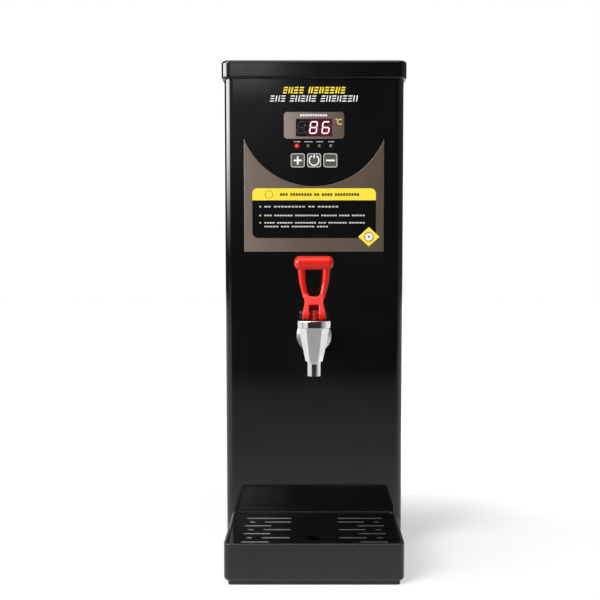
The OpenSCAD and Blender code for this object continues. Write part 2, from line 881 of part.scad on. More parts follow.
module tap_gasket() {
    inset = 2;
    color("white") translate([0, y_front - gasket_t, tap_z]) rotate([-90, 0, 0])
        tube(escutcheon_r - inset, thread_r + hole_clear, gasket_t);
}

module tap_lock_nut() {
    color("gold") translate([0, y_inside, tap_z]) rotate([-90, 0, 0]) difference() {
        cylinder(r = lock_nut_af / 2 / cos(30), h = lock_nut_t, $fn = 6);
        translate([0, 0, -1]) cylinder(r = thread_r + run_clear, h = lock_nut_t + 2);
    }
}

module tap_stem() {
    eye_half = fork_w / 2 - eye_side;
    stem_z0 = cup_z0 + 2;
    color("goldenrod") translate([0, y_tap, 0]) difference() {
        union() {
            translate([0, 0, stem_z0]) cylinder(r = stem_r, h = pin_z - stem_z0);
            translate([-eye_half, 0, pin_z]) rotate([0, 90, 0]) cylinder(r = eye_r, h = 2 * eye_half);
            translate([0, 0, lever_z + 0.5])
                linear_extrude(pin_rise - 0.5) square([2 * eye_half, 2 * stem_r], center = true);
        }
        translate([-eye_half - 1, 0, pin_z]) rotate([0, 90, 0])
            cylinder(r = pin_r + 0.02, h = 2 * eye_half + 2);
    }
}

module handle_pin() {
    half = foot_half - 1.5;
    color("silver") translate([-half, y_tap, pin_z]) rotate([0, 90, 0]) cylinder(r = pin_r, h = 2 * half);
}

module seat_cup() {
    lip = 1;
    color("white") translate([0, y_tap, cup_z0]) difference() {
        union() {
            cylinder(r = cup_r, h = cup_h - lip);
            translate([0, 0, cup_h - lip - eps]) cylinder(r1 = cup_r, r2 = cup_r - lip, h = lip + eps);
        }
        translate([0, 0, 2]) cylinder(r = stem_r + hose_fit, h = cup_h);
    }
}

// Ring of points round one station of the spring's wire
function wire_ring(a, z, sides) = [for (s = [0 : sides - 1])
    let (r = coil_r + wire_r * cos(s * 360 / sides))
    [r * cos(a), r * sin(a), z + wire_r * sin(s * 360 / sides)]];

module tap_spring() {
    sides = 6;
    rings = coil_turns * 8 + 1;
    z0 = cup_z0 + cup_h + wire_r + 0.1;
    z1 = cone_z1 + bonnet_h - bonnet_cap_t - wire_r - 0.1;
    points = [for (i = [0 : rings - 1])
        each wire_ring(i * 45, z0 + (z1 - z0) * i / (rings - 1), sides)];
    sides_faces = [for (i = [0 : rings - 2], s = [0 : sides - 1])
        let (a = i * sides + s, b = i * sides + (s + 1) % sides)
        each [[a, b, b + sides], [a, b + sides, a + sides]]];
    first = [for (s = [1 : sides - 2]) [0, s + 1, s]];
    last_ring = (rings - 1) * sides;
    last = [for (s = [1 : sides - 2]) [last_ring, last_ring + s, last_ring + s + 1]];
    echo(spring_gap = (z1 - z0) / coil_turns - 2 * wire_r);
    color("silver") translate([0, y_tap, 0])
        polyhedron(points, concat(first, sides_faces, last));
}

// Point of the cam under the lever: the foot rolls on the bonnet and lifts the pin at a steady rate
function cam_point(a) =
    let (reach = pin_rise + cam_k * a * PI / 180)
    [-reach * sin(a) - cam_k * cos(a), pin_rise - reach * cos(a) + cam_k * sin(a)];

// Round tapered limb between two points in the X-Z plane, with a ball at its lower end
module limb(x0, z0, r0, x1, z1, r1) {
    l = norm([x1 - x0, z1 - z0]);
    translate([x0, 0, z0]) {
        sphere(r0 + ball_extra);
        rotate([0, atan2(x1 - x0, z1 - z0), 0]) cylinder(r1 = r0, r2 = r1, h = l);
    }
}

// Forked foot with the cam that opens the tap
module lever_foot() {
    top_z = yoke_z + 3;
    toe = cam_point(lever_tilt + cam_overrun);
    cam = [for (i = [0 : 10]) cam_point(i * (lever_tilt + cam_overrun) / 10)];
    top_y = arm_low_r - 0.3;
    top_x = arm_low_x + arm_low_r - 0.8;
    loop_x = arm_low_x - arm_low_r + 0.3 - loop_r;
    through = 40;
    profile = concat([[top_y, top_z], [heel, pin_rise + 2], [heel, 1], [heel - 1, 0]], cam,
        [[toe[0] - 0.3, toe[1] + 1.5], [toe[0] + 0.8, pin_rise + 1], [-top_y, top_z]]);
    outline = [[-foot_half, 0], [foot_half, 0], [foot_half - 0.8, pin_rise + 2], [neck_half, neck_z],
        [top_x, top_z], [-top_x, top_z], [-neck_half, neck_z], [-foot_half + 0.8, pin_rise + 2]];
    difference() {
        intersection() {
            extrude_x(3 * foot_half) polygon(profile);
            rotate([90, 0, 0]) linear_extrude(through, center = true) polygon(outline);
        }
        translate([-loop_x, -through / 2, yoke_z]) cube([2 * loop_x, through, top_z]);
        for (sx = [-1, 1]) translate([sx * loop_x, -through / 2, yoke_z + loop_r]) bar_y(loop_r, through);
        translate([-fork_w / 2, -through / 2, -1]) cube([fork_w, through, fork_h + 1]);
        translate([-foot_half - 1, 0, pin_rise]) rotate([0, 90, 0])
            cylinder(r = pin_r + run_clear, h = 2 * foot_half + 2);
    }
}

module tap_handle() {
    bar_z = lever_h - bar_r;
    steps = 6;
    bar_end = [for (i = [0 : steps]) let (a = i * 90 / steps)
        [max(bar_r * cos(a), 0), bar_half + (bar_tip - bar_half) * sin(a)]];
    far_end = [for (i = [steps : -1 : 0]) [bar_end[i][0], -bar_end[i][1]]];
    color("red") translate([0, y_tap, lever_z]) {
        translate([0, 0, bar_z]) rotate([0, 90, 0]) rotate_extrude() polygon(concat(far_end, bar_end));
        for (side = [0, 1]) mirror([side, 0, 0]) {
            limb(arm_mid_x, arm_mid_z, arm_mid_r, arm_top_x, bar_z, arm_top_r);
            limb(arm_low_x, yoke_z, arm_low_r, arm_mid_x, arm_mid_z, arm_mid_r);
        }
        lever_foot();
    }
}

module outlet_hose() {
    y0 = shank_end_y + 1;
    color("white") translate([0, y0, tap_z]) rotate([-90, 0, 0]) tube(hose_ro, hose_ri, hose_y1 - y0);
}

module drip_tray() {
    deep_w = tray_w - 2 * (tray_wall + ledge_w);
    deep_l = tray_len - 2 * (tray_wall + ledge_w);
    deep_r = max(tray_corner_r - tray_wall - ledge_w, 1);
    rim_r = 0.7;
    root = 1;
    color("black") difference() {
        union() {
            translate([0, tray_y, pad_h])
                soft_block(tray_w, tray_len, tray_h - pad_h, tray_corner_r, rim_r, tray_low_r);
            at_tongues() translate([-tongue_w / 2, y_front - tray_gap - root, -tongue_t / 2])
                cube([tongue_w, tongue_l + root, tongue_t]);
        }
        translate([0, tray_y, grid_z0]) linear_extrude(tray_h)
            rounded_plan(tray_w - 2 * tray_wall, tray_len - 2 * tray_wall, tray_corner_r - tray_wall);
        translate([0, tray_y, pad_h + tray_floor]) linear_extrude(tray_h)
            rounded_plan(deep_w, deep_l, deep_r);
    }
}

module tray_pads() {
    w = tray_w - 2 * tray_low_r;
    color("dimgray") for (sy = [-1, 1])
        translate([0, tray_y + sy * (tray_len / 2 - tray_low_r - pad_l / 2), 0])
            linear_extrude(pad_h) rounded_plan(w, pad_l, pad_r);
}

// Distance from the grid's side to the middle of slot i of a row
function slot_in(row, i) =
    row[i][0] + row[i][1] / 2 + (i == 0 ? 0 : slot_in(row, i - 1) + row[i - 1][1] / 2);

// Distance from the grid's side to the inner end of a row
function row_end(row) = slot_in(row, len(row) - 1) + row[len(row) - 1][1] / 2;

// One row of slots, mirrored to both sides
module slot_row(row) {
    for (i = [0 : len(row) - 1], side = [-1, 1])
        translate([side * (grid_w / 2 - slot_in(row, i)), 0, 0])
            linear_extrude(grid_t + 2) rounded_plan(row[i][1], slot_w, slot_w / 2 - eps);
}

module drip_grid() {
    row_y = tray_front + slot_first;
    hole_row = 1;
    rib_t = 2;
    rib_x = grid_w / 2 - row_end(mixed_slots) - rib_t;
    rib_l = grid_l - 2 * ledge_w - 6;
    last = slot_rows - 1;
    color("black") difference() {
        union() {
            translate([0, tray_y, grid_z0]) soft_block(grid_w, grid_l, grid_t, grid_corner_r, 0.6, 0.3);
            for (sx = [-1, 1]) translate([sx * rib_x - rib_t / 2, tray_y - rib_l / 2, grid_z0 - rib_h])
                cube([rib_t, rib_l, rib_h + eps]);
        }
        for (i = [0 : last]) translate([0, row_y + i * slot_pitch, grid_z0 - 1])
            slot_row(i == last ? back_slots : i % 2 == 0 ? wide_slots : mixed_slots);
        translate([0, row_y + hole_row * slot_pitch, grid_z0 - 1]) cylinder(r = finger_r, h = grid_t + 2);
    }
}

module tank() {
    h = rim_z1 - tank_z0;
    spigot_y = hose_y1 - spigot_grip;
    color("lightgray") difference() {
        union() {
            translate([0, tank_y, tank_z0]) cylinder(r = tank_r, h = h);
            translate([0, tank_y, rim_z0]) cylinder(r = rim_r, h = rim_t);
            translate([0, spigot_y, tap_z]) bar_y(barb_r, tank_y - tank_r - spigot_y + 10);
            for (sx = [-1, 1]) translate([sx * port_x, port_y, port_end_z])
                cylinder(r = barb_r, h = port_l + eps);
        }
        translate([0, tank_y, tank_z0 + tank_floor_t]) cylinder(r = tank_r - tank_wall, h = h);
        translate([0, spigot_y - 1, tap_z]) bar_y(barb_r - bore_wall, 40);
        for (sx = [-1, 1]) translate([sx * port_x, port_y, port_end_z - 1])
            cylinder(r = barb_r - bore_wall, h = port_l + 10);
        translate([0, tank_y, tank_z0 - 1]) cylinder(r = plug_r + hole_clear, h = 10);
        at_cover_screws() translate([0, 0, rim_z0 - 1]) cylinder(r = screw_hole_r, h = rim_t + 2);
    }
}

module cover_gasket() {
    color("white") difference() {
        translate([0, tank_y, rim_z1]) tube(rim_r, tank_r - tank_wall, cover_gasket_t);
        at_cover_screws() translate([0, 0, rim_z1 - 1]) cylinder(r = screw_hole_r, h = cover_gasket_t + 2);
    }
}

module tank_cover() {
    vent_r = 5;
    color("lightgray") difference() {
        translate([0, tank_y, cover_z0]) cylinder(r = rim_r, h = cover_t);
        at_cover_screws() translate([0, 0, cover_z0 - 1]) cylinder(r = screw_hole_r, h = cover_t + 2);
        at_probes() translate([0, 0, cover_z0 - 1]) cylinder(r = bush_r + hole_clear, h = cover_t + 2);
        translate([0, tank_y, cover_z0 - 1]) cylinder(r = warm_probe_r + hole_clear, h = cover_t + 2);
        translate([0, tank_y + vent_offset, cover_z0 - 1]) cylinder(r = vent_r, h = cover_t + 2);
    }
}

module cover_screws() {
    color("silver") at_cover_screws() translate([0, 0, cover_z1])
        pan_screw(cover_t + cover_gasket_t + rim_t + 3);
}

module tank_jacket() {
    gap = 0.3;
    hole_gap = 1;
    cutout_gap = 3;
    z0 = tank_z0 + 2;
    z1 = rim_z0 - 6;
    color("wheat") difference() {
        translate([0, tank_y, z0]) tube(jacket_r, tank_r + gap, z1 - z0);
        translate([0, tank_y - jacket_r - 1, tap_z]) bar_y(hose_ro + hole_gap, jacket_t + 10);
        translate([0, tank_y + tank_r - 9, tap_z]) bar_y(cutout_r + cutout_gap, jacket_t + 10);
    }
}

module tank_stand() {
    plate_hole_r = plug_r + 9;
    leg_hole_r = 16;
    leg_hole_y = 30;
    leg_h = stand_z1 - base_z1;
    color("silver") difference() {
        union() {
            translate([-stand_half, tank_y - stand_half, stand_z1 - stand_t])
                cube([2 * stand_half, 2 * stand_half, stand_t]);
            for (side = [0, 1]) mirror([side, 0, 0]) {
                translate([stand_half - stand_t, tank_y - stand_half, base_z1])
                    cube([stand_t, 2 * stand_half, leg_h]);
                translate([stand_half - stand_foot_w, tank_y - stand_half, base_z1])
                    cube([stand_foot_w, 2 * stand_half, stand_t]);
            }
        }
        translate([0, tank_y, stand_z1 - stand_t - 1]) cylinder(r = plate_hole_r, h = stand_t + 2);
        for (sx = [-1, 1]) translate([sx * port_x, port_y, stand_z1 - stand_t - 1])
            cylinder(r = barb_r + 1, h = stand_t + 2);
        at_stand_screws() translate([0, 0, base_z1 - 1]) cylinder(r = screw_hole_r, h = stand_t + 2);
        for (sy = [-1, 1]) translate([-stand_half - 1, tank_y + sy * leg_hole_y, base_z1 + leg_h / 2])
            rotate([0, 90, 0]) cylinder(r = leg_hole_r, h = 2 * stand_half + 2);
    }
}

module stand_screws() {
    color("silver") at_stand_screws() translate([0, 0, base_z1 + stand_t])
        pan_screw(stand_t + base_t + 3);
}

module heating_element() {
    head_h = 7;
    plug_h = 12;
    bow_r = 8;
    tube_r = 3.6;
    row = 7;
    blade_r = 1.6;
    blade_l = 12;
    z0 = tank_z0 + tank_floor_t + plug_h - 4;
    color("goldenrod") translate([0, tank_y, 0]) {
        translate([0, 0, tank_z0 - head_h]) cylinder(r = plug_r + 6, h = head_h, $fn = 6);
        translate([0, 0, tank_z0 - eps]) cylinder(r = plug_r, h = tank_floor_t + plug_h);
        for (sy = [-1, 1]) translate([0, sy * row, 0]) {
            for (sx = [-1, 1]) {
                translate([sx * bow_r, 0, z0]) cylinder(r = tube_r, h = loop_h);
                translate([sx * bow_r, 0, tank_z0 - head_h - blade_l])
                    cylinder(r = blade_r, h = blade_l + 1);
            }
            translate([0, 0, z0 + loop_h - eps]) rotate([90, 0, 0])
                rotate_extrude(angle = 180) translate([bow_r, 0]) circle(tube_r);
        }
    }
}

module element_nut() {
    nut_h = 6;
    color("goldenrod") translate([0, tank_y, tank_z0 + tank_floor_t]) difference() {
        cylinder(r = plug_r + 5, h = nut_h, $fn = 6);
        translate([0, 0, -1]) cylinder(r = plug_r + run_clear, h = nut_h + 2);
    }
}

module level_probes() {
    tip = 14;
    color("silver") at_probes() translate([0, 0, cover_z0 - probe_l])
        cylinder(r = level_probe_r, h = probe_l + cover_t + tip);
}

module probe_bushes() {
    collar_r = 6;
    collar_h = 6;
    neck_l = 4;
    color("white") at_probes() difference() {
        union() {
            translate([0, 0, cover_z1]) cylinder(r = collar_r, h = collar_h);
            translate([0, 0, cover_z0 - neck_l]) cylinder(r = bush_r, h = neck_l + cover_t + eps);
        }
        translate([0, 0, cover_z0 - neck_l - 1])
            cylinder(r = level_probe_r + run_clear, h = neck_l + cover_t + collar_h + 2);
    }
}

module temperature_probe() {
    l = rim_z1 - tank_z0 - loop_h - over_loops;
    hex_r = 7;
    hex_h = 6;
    color("silver") translate([0, tank_y, 0]) {
        translate([0, 0, cover_z0 - l]) cylinder(r = warm_probe_r, h = l + cover_t + eps);
        translate([0, 0, cover_z1]) cylinder(r = hex_r, h = hex_h, $fn = 6);
        translate([0, 0, cover_z1 + hex_h - eps]) cylinder(r = warm_probe_r - 0.6, h = 8);
    }
}

module thermal_cutout() {
    can_h = 7;
    blade = [1, 6, 4];
    blade_x = 4.5;
    color("darkgray") translate([0, tank_y + tank_r + hole_clear, tap_z]) {
        bar_y(cutout_r, can_h);
        for (sx = [-1, 1]) translate([sx * blade_x - blade[0] / 2, can_h - eps, -blade[2] / 2]) cube(blade);
    }
}

module inlet_valve() {
    flange_r = 16;
    flange_t = 3;
    bore_r = 6.5;
    color("white") difference() {
        union() {
            translate([-port_x, port_y, inlet_z]) bar_y(valve_r, y_rear_in - port_y);
            translate([-port_x, port_y, inlet_z]) sphere(valve_r);
            translate([-port_x, y_rear_in - flange_t, inlet_z]) bar_y(flange_r, flange_t);
            translate([-port_x, y_rear_in - eps, inlet_z])
                bar_y(inlet_shank_r, inlet_shank_y - y_rear_in + eps);
            translate([-port_x, inlet_shank_y - eps, inlet_z])
                bar_y(nipple_r, y_back + nipple_len - inlet_shank_y + eps);
            translate([-port_x, port_y, inlet_z]) cylinder(r = barb_r, h = valve_rise + barb_l);
        }
        translate([-port_x, port_y, inlet_z]) bar_y(bore_r, y_back + nipple_len - port_y + 1);
        translate([-port_x, port_y, inlet_z]) cylinder(r = barb_r - bore_wall, h = valve_rise + barb_l + 1);
    }
}

module valve_coil() {
    coil = [28, 26, 30];
    y0 = port_y + 22;
    color("darkblue") translate([-port_x - coil[0] / 2, y0, inlet_z + valve_r]) cube(coil);
}

module inlet_lock_nut() {
    color("gold") translate([-port_x, y_back, inlet_z]) rotate([-90, 0, 0]) difference() {
        cylinder(r = inlet_shank_r + 6, h = inlet_nut_t, $fn = 6);
        translate([0, 0, -1]) cylinder(r = inlet_shank_r + run_clear, h = inlet_nut_t + 2);
    }
}

module inlet_hose() {
    z0 = inlet_z + valve_rise + hose_back;
    z1 = tank_z0 - stand_t - hose_back;
    color("lightgray") translate([-port_x, port_y, z0]) tube(hose_ro, hose_ri, z1 - z0);
}

// Path of the drain hose: down from the tank, round a bend and back to the rear panel
module drain_path(r, more) {
    z1 = tank_z0 - stand_t - hose_back + more;
    bend_z = inlet_z + bend_path_r;
    y1 = y_rear_in - 5 + more;
    translate([port_x, port_y, bend_z]) cylinder(r = r, h = z1 - bend_z);
    translate([port_x, port_y + bend_path_r, bend_z]) rotate([90, 0, 90]) rotate([0, 0, 180])
        rotate_extrude(angle = 90) translate([bend_path_r, 0]) circle(r);
    translate([port_x, port_y + bend_path_r, inlet_z]) bar_y(r, y1 - port_y - bend_path_r);
}

module drain_hose() {
    color("lightgray") difference() {
        drain_path(hose_ro, 0);
        drain_path(hose_ri, 1);
    }
}

module drain_fitting() {
    flange_t = 3;
    out = 12;
    inner_l = 18;
    color("gold") translate([port_x, y_rear_in, inlet_z]) difference() {
        union() {
            translate([0, -flange_t, 0]) bar_y(drain_r + 4, flange_t);
            translate([0, -eps, 0]) bar_y(drain_r, sheet + out);
            translate([0, -inner_l, 0]) bar_y(barb_r, inner_l);
        }
        translate([0, -inner_l - 1, 0]) bar_y(barb_r - bore_wall, inner_l + sheet + out + 2);
    }
}

module drain_cap() {
    wall = 2.2;
    l = 15;
    end_t = 2.5;
    color("silver") translate([port_x, y_back, inlet_z]) rotate([-90, 0, 0]) difference() {
        rotate_extrude() edge_section(drain_r + wall, l, 1, 0.4);
        translate([0, 0, -1]) cylinder(r = drain_r + run_clear, h = l - end_t + 1);
    }
}

module cord_gland() {
    out = 18;
    hex_h = 6;
    inner_l = 10;
    color("black") translate([0, y_back, gland_z]) rotate([-90, 0, 0]) difference() {
        union() {
            cylinder(r = gland_r + 4, h = hex_h, $fn = 6);
            translate([0, 0, hex_h - eps]) rotate_extrude() edge_section(gland_r + 2, out - hex_h, 4, 0.5);
            translate([0, 0, -sheet - inner_l]) cylinder(r = gland_r, h = sheet + inner_l + eps);
        }
        translate([0, 0, -sheet - inner_l - 1]) cylinder(r = gland_bore_r, h = sheet + inner_l + out + 2);
    }
}

module gland_nut() {
    nut_h = 5;
    color("black") translate([0, y_rear_in - nut_h, gland_z]) rotate([-90, 0, 0]) difference() {
        cylinder(r = gland_r + 4, h = nut_h, $fn = 6);
        translate([0, 0, -1]) cylinder(r = gland_r + run_clear, h = nut_h + 2);
    }
}

// Power board standing on four posts on the base plate
module power_board() {
    z0 = base_z1 + power_post;
    relay = [18, 24, 16];
    relay_x = [-32, -8];
    can_r = 7;
    can_h = 20;
    can_x = 18;
    post_r = 3;
    post_inset = 5;
    color("darkgreen") translate([0, power_y, 0]) {
        translate([-power_w / 2, -power_l / 2, z0]) cube([power_w, power_l, board_t]);
        for (sx = [-1, 1], sy = [-1, 1])
            translate([sx * (power_w / 2 - post_inset), sy * (power_l / 2 - post_inset), base_z1])
                cylinder(r = post_r, h = power_post + eps);
        for (x = relay_x) translate([x, 2, z0 + board_t - eps]) cube(relay);
        translate([can_x, 2 * can_r, z0 + board_t - eps]) cylinder(r = can_r, h = can_h);
    }
}

module heat_sink() {
    fins = 6;
    fin_t = 1.6;
    fin_step = 7;
    fin_h = 22;
    l = 26;
    foot = 3;
    w = (fins - 1) * fin_step + fin_t;
    color("lightgray") translate([-w / 2, power_y - power_l / 2 + 4, base_z1 + power_post + board_t]) {
        cube([w, l, foot]);
        for (i = [0 : fins - 1]) translate([i * fin_step, 0, foot - eps]) cube([fin_t, l, fin_h]);
    }
}

module terminal_block() {
    ways = 3;
    pitch = 12;
    w = ways * pitch + 4;
    l = 22;
    h = 16;
    y0 = tank_y + 26;
    color("ivory") difference() {
        translate([-w / 2, y0, base_z1]) cube([w, l, h]);
        for (i = [0 : ways - 1]) translate([(i - 1) * pitch, y0, base_z1 + h - 5]) {
            translate([0, 6, 0]) cylinder(r = 3, h = 6);
            translate([0, l - 6, 0]) cylinder(r = 3, h = 6);
        }
    }
}

body_shell();
rear_panel();
base_plate();
lid();
feet();
foot_screws();
foot_nuts();
rear_screws();
lid_screws();
info_plate();
display_bezel();
display_window();
indicator_lamps();
button_plus();
button_power();
button_minus();
control_board();
display_module();
key_switches();
board_standoffs();
board_screws();
tap_body();
tap_bonnet();
tap_escutcheon();
tap_gasket();
tap_lock_nut();
tap_stem();
handle_pin();
seat_cup();
tap_spring();
tap_handle();
outlet_hose();
drip_tray();
tray_pads();
drip_grid();
tank();
tank_cover();
cover_gasket();
cover_screws();
tank_jacket();
tank_stand();
stand_screws();
heating_element();
element_nut();
level_probes();
probe_bushes();
temperature_probe();
thermal_cutout();
inlet_valve();
valve_coil();
inlet_lock_nut();
inlet_hose();
drain_hose();
drain_fitting();
drain_cap();
cord_gland();
gland_nut();
power_board();
heat_sink();
terminal_block();
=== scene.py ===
import math

import bmesh
import bpy
from mathutils import Matrix, Vector


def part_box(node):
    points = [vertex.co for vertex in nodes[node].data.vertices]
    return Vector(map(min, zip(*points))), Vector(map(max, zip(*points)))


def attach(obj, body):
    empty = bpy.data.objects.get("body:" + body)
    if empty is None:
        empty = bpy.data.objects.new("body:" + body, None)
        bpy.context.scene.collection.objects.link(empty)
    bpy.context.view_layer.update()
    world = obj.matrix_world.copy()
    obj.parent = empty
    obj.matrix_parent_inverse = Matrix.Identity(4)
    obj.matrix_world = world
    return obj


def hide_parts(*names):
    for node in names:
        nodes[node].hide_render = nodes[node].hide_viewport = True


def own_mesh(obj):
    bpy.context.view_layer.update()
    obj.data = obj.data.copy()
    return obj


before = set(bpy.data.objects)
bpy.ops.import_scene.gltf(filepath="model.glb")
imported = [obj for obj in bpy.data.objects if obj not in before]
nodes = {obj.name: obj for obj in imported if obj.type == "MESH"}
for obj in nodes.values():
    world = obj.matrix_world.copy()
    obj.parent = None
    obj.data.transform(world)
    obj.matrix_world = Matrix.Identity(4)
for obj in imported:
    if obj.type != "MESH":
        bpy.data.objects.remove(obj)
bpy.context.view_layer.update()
scene = bpy.context.scene
MM = 0.001


# Camera and studio

CAMERA_SENSOR = 36
CAMERA_LENS = 52.5
CAMERA_SHIFT = -0.02345
CAMERA_PLACE = (0.0, -1.0094, 0.328)
CAMERA_PITCH = math.radians(86.446)

FLOOR_HALF = 4.0
FLOOR_GREY = 0.48
FLOOR_GRAIN = 900.0
FLOOR_GRAIN_DEPTH = 0.02 * MM
# The paper glows, and more in a patch behind the object to its right, a painted light that washes out the
# object's shadow there:
# where that rises in y, where it begins and ends in x and how softly, and the strength outside and inside
FLOOR_SHINE_Y = (-0.02, 0.22)
FLOOR_SHINE_X = (0.06, 0.6)
FLOOR_SHINE_SOFT = 0.06
FLOOR_SHINE = (0.45, 1.0)
# It thins out towards the viewer: y from, y to and the cover at shares of that way
FLOOR_FADE_Y = (-1.4, -0.1)
FLOOR_COVER = [(0.0, 0.0), (0.2, 0.2), (0.45, 0.34), (0.65, 0.43), (0.8, 0.62), (1.0, 1.0)]

# Each lit patch of the studio: azimuth from, to and softness, elevation from, to and softness, radiance.
# Azimuth is 0 in front of the object and grows to its left, all angles in degrees.
STUDIO_PATCHES = [
    (50, 102, 4, 3.9, 17, 4.6, 20.0),
    (30, 62, 8, 20, 46, 5, 18.0),
    (42, 77, 3, -16, -3, 2, 1.15),
    (-30, 60, 12, 50, 68, 6, 4.5),
    (2.6, 6.6, 1.4, 10.4, 18, 1.4, 2.3),
    (-112, -52, 12, -20, -2, 2, 0.5),
    (-112, -52, 12, -2, 60, 2, 0.3),
    (-150, -112, 8, -20, 60, 8, 0.25),
    (-181, 181, 8, 62, 95, 8, 0.9),
]
STUDIO_FILL = 0.045
# The wall behind the viewer brightens to the left and upwards: azimuths, elevations, radiance.
# Its ends: azimuths and softness
FRONT_WALL = (-4, 6, -1, 12, 0.4)
FRONT_WALL_ENDS = (-60, 60, 20)


class Graph:
    """A node tree, with short calls for the nodes that this script uses."""

    def __init__(self, tree):
        self.tree = tree
        tree.nodes.clear()

    def feed(self, socket, value):
        if isinstance(value, bpy.types.NodeSocket):
            self.tree.links.new(value, socket)
        else:
            socket.default_value = value

    def node(self, kind, inputs=None, **settings):
        made = self.tree.nodes.new(kind)
        for name, value in settings.items():
            setattr(made, name, value)
        for name, value in (inputs or {}).items():
            self.feed(made.inputs[name], value)
        return made

    def math(self, operation, *values):
        made = self.node("ShaderNodeMath", operation=operation)
        for socket, value in zip(made.inputs, values):
            self.feed(socket, value)
        return made.outputs[0]

    def step(self, value, low, high, low_to=0.0, high_to=1.0, kind="SMOOTHSTEP"):
        """Runs smoothly from low_to to high_to while value goes from low to high."""
        span = {"From Min": low, "From Max": high, "To Min": low_to, "To Max": high_to}
        return self.node("ShaderNodeMapRange", {"Value": value, **span}, interpolation_type=kind).outputs[0]

    def share(self, value, low, high):
        """How far a value is on its way from low to high."""
        return self.step(value, low, high, kind="LINEAR")

    def window(self, value, low, high, soft):
        """One between low and high, nothing outside."""
        rise = self.step(value, low - soft, low + soft)
        fall = self.step(value, high - soft, high + soft)
        return self.math("SUBTRACT", rise, fall)

    def split(self, vector):
        return self.node("ShaderNodeSeparateXYZ", {"Vector": vector}).outputs

    def ramp(self, mask, stops, constant=False):
        """A colour ramp with stops of (position, colour)."""
        made = self.node("ShaderNodeValToRGB", {"Fac": mask})
        band = made.color_ramp
        band.interpolation = "CONSTANT" if constant else "LINEAR"
        while len(band.elements) < len(stops):
            band.elements.new(1.0)
        for element, (position, color) in zip(band.elements, stops):
            element.position = position
            element.color = (*color, 1.0)
        return made.outputs["Color"]

    def mix(self, share, first, second):
        """A colour between two; the sockets go by number because the node has several of each name."""
        made = self.node("ShaderNodeMix", data_type="RGBA")
        for socket, value in ((0, share), (6, first), (7, second)):
            self.feed(made.inputs[socket], value)
        return made.outputs[2]


def make_camera():
    data = bpy.data.cameras.new("camera")
    data.sensor_width = CAMERA_SENSOR
    data.lens = CAMERA_LENS
    data.shift_x = CAMERA_SHIFT
    camera = bpy.data.objects.new("camera", data)
    camera.location = CAMERA_PLACE
    camera.rotation_euler = (CAMERA_PITCH, 0, 0)
    scene.collection.objects.link(camera)
    scene.camera = camera


def make_studio():
    """Lit patches all round the object, and plain white where the camera sees past it."""
    scene.view_settings.view_transform = "Standard"
    world = bpy.data.worlds.new("studio")
    scene.world = world
    world.use_nodes = True
    g = Graph(world.node_tree)
    x, y, z = g.split(g.node("ShaderNodeTexCoord").outputs["Generated"])
    turn = g.math("ARCTAN2", g.math("MULTIPLY", x, -1.0), g.math("MULTIPLY", y, -1.0))
    azimuth = g.math("DEGREES", turn)
    elevation = g.math("DEGREES", g.math("ARCSINE", z))
    right, left, low, high, radiance = FRONT_WALL
    wall = g.math("MULTIPLY", g.step(azimuth, right, left), g.window(azimuth, *FRONT_WALL_ENDS))
    wall = g.math("MULTIPLY", wall, g.step(elevation, low, high, 0.0, radiance))
    light = g.math("ADD", wall, STUDIO_FILL)
    for a0, a1, a_soft, e0, e1, e_soft, radiance in STUDIO_PATCHES:
        patch = g.math("MULTIPLY", g.window(azimuth, a0, a1, a_soft), g.window(elevation, e0, e1, e_soft))
        light = g.math("ADD", light, g.math("MULTIPLY", patch, radiance))
    lit = g.node("ShaderNodeBackground", {"Strength": light})
    backdrop = g.node("ShaderNodeBackground", {"Strength": 1.0, "Color": (1, 1, 1, 1)})
    seen = g.node("ShaderNodeLightPath").outputs["Is Camera Ray"]
    mix = g.node("ShaderNodeMixShader", {0: seen, 1: lit.outputs[0], 2: backdrop.outputs[0]})
    g.node("ShaderNodeOutputWorld", {"Surface": mix.outputs[0]})


def make_floor():
    """A pale paper floor that fades towards the viewer."""
    mesh = bpy.data.meshes.new("floor")
    corners = [(x, y, 0) for x, y in ((-1, -1), (1, -1), (1, 1), (-1, 1))]
    mesh.from_pydata([Vector(c) * FLOOR_HALF for c in corners], [], [(0, 1, 2, 3)])
    floor = bpy.data.objects.new("floor", mesh)
    scene.collection.objects.link(floor)
    material = bpy.data.materials.new("floor_paper")
    material.use_nodes = True
    g = Graph(material.node_tree)
    place = g.node("ShaderNodeTexCoord").outputs["Object"]
    grain = g.node("ShaderNodeTexNoise", {"Vector": place, "Scale": FLOOR_GRAIN}).outputs["Fac"]
    x, y, _ = g.split(place)
    along = g.share(y, *FLOOR_FADE_Y)
    cover = g.ramp(along, [(at, (share,) * 3) for at, share in FLOOR_COVER])
    bump = g.node("ShaderNodeBump", {"Height": grain, "Distance": FLOOR_GRAIN_DEPTH})
    grey = (FLOOR_GREY, FLOOR_GREY, FLOOR_GREY, 1)
    paper = g.node("ShaderNodeBsdfDiffuse", {"Color": grey, "Normal": bump.outputs[0]})
    # Painted light: a glowing patch that washes out the object's shadow behind it on the right
    back = g.math("MULTIPLY", g.step(y, *FLOOR_SHINE_Y), g.window(x, *FLOOR_SHINE_X, FLOOR_SHINE_SOFT))
    shine = g.node("ShaderNodeEmission", {"Strength": g.step(back, 0, 1, *FLOOR_SHINE, kind="LINEAR")})
    both = g.node("ShaderNodeAddShader", {0: paper.outputs[0], 1: shine.outputs[0]})
    clear = g.node("ShaderNodeBsdfTransparent")
    mix = g.node("ShaderNodeMixShader", {0: cover, 1: clear.outputs[0], 2: both.outputs[0]})
    g.node("ShaderNodeOutputMaterial", {"Surface": mix.outputs[0]})
    mesh.materials.append(material)


# Materials

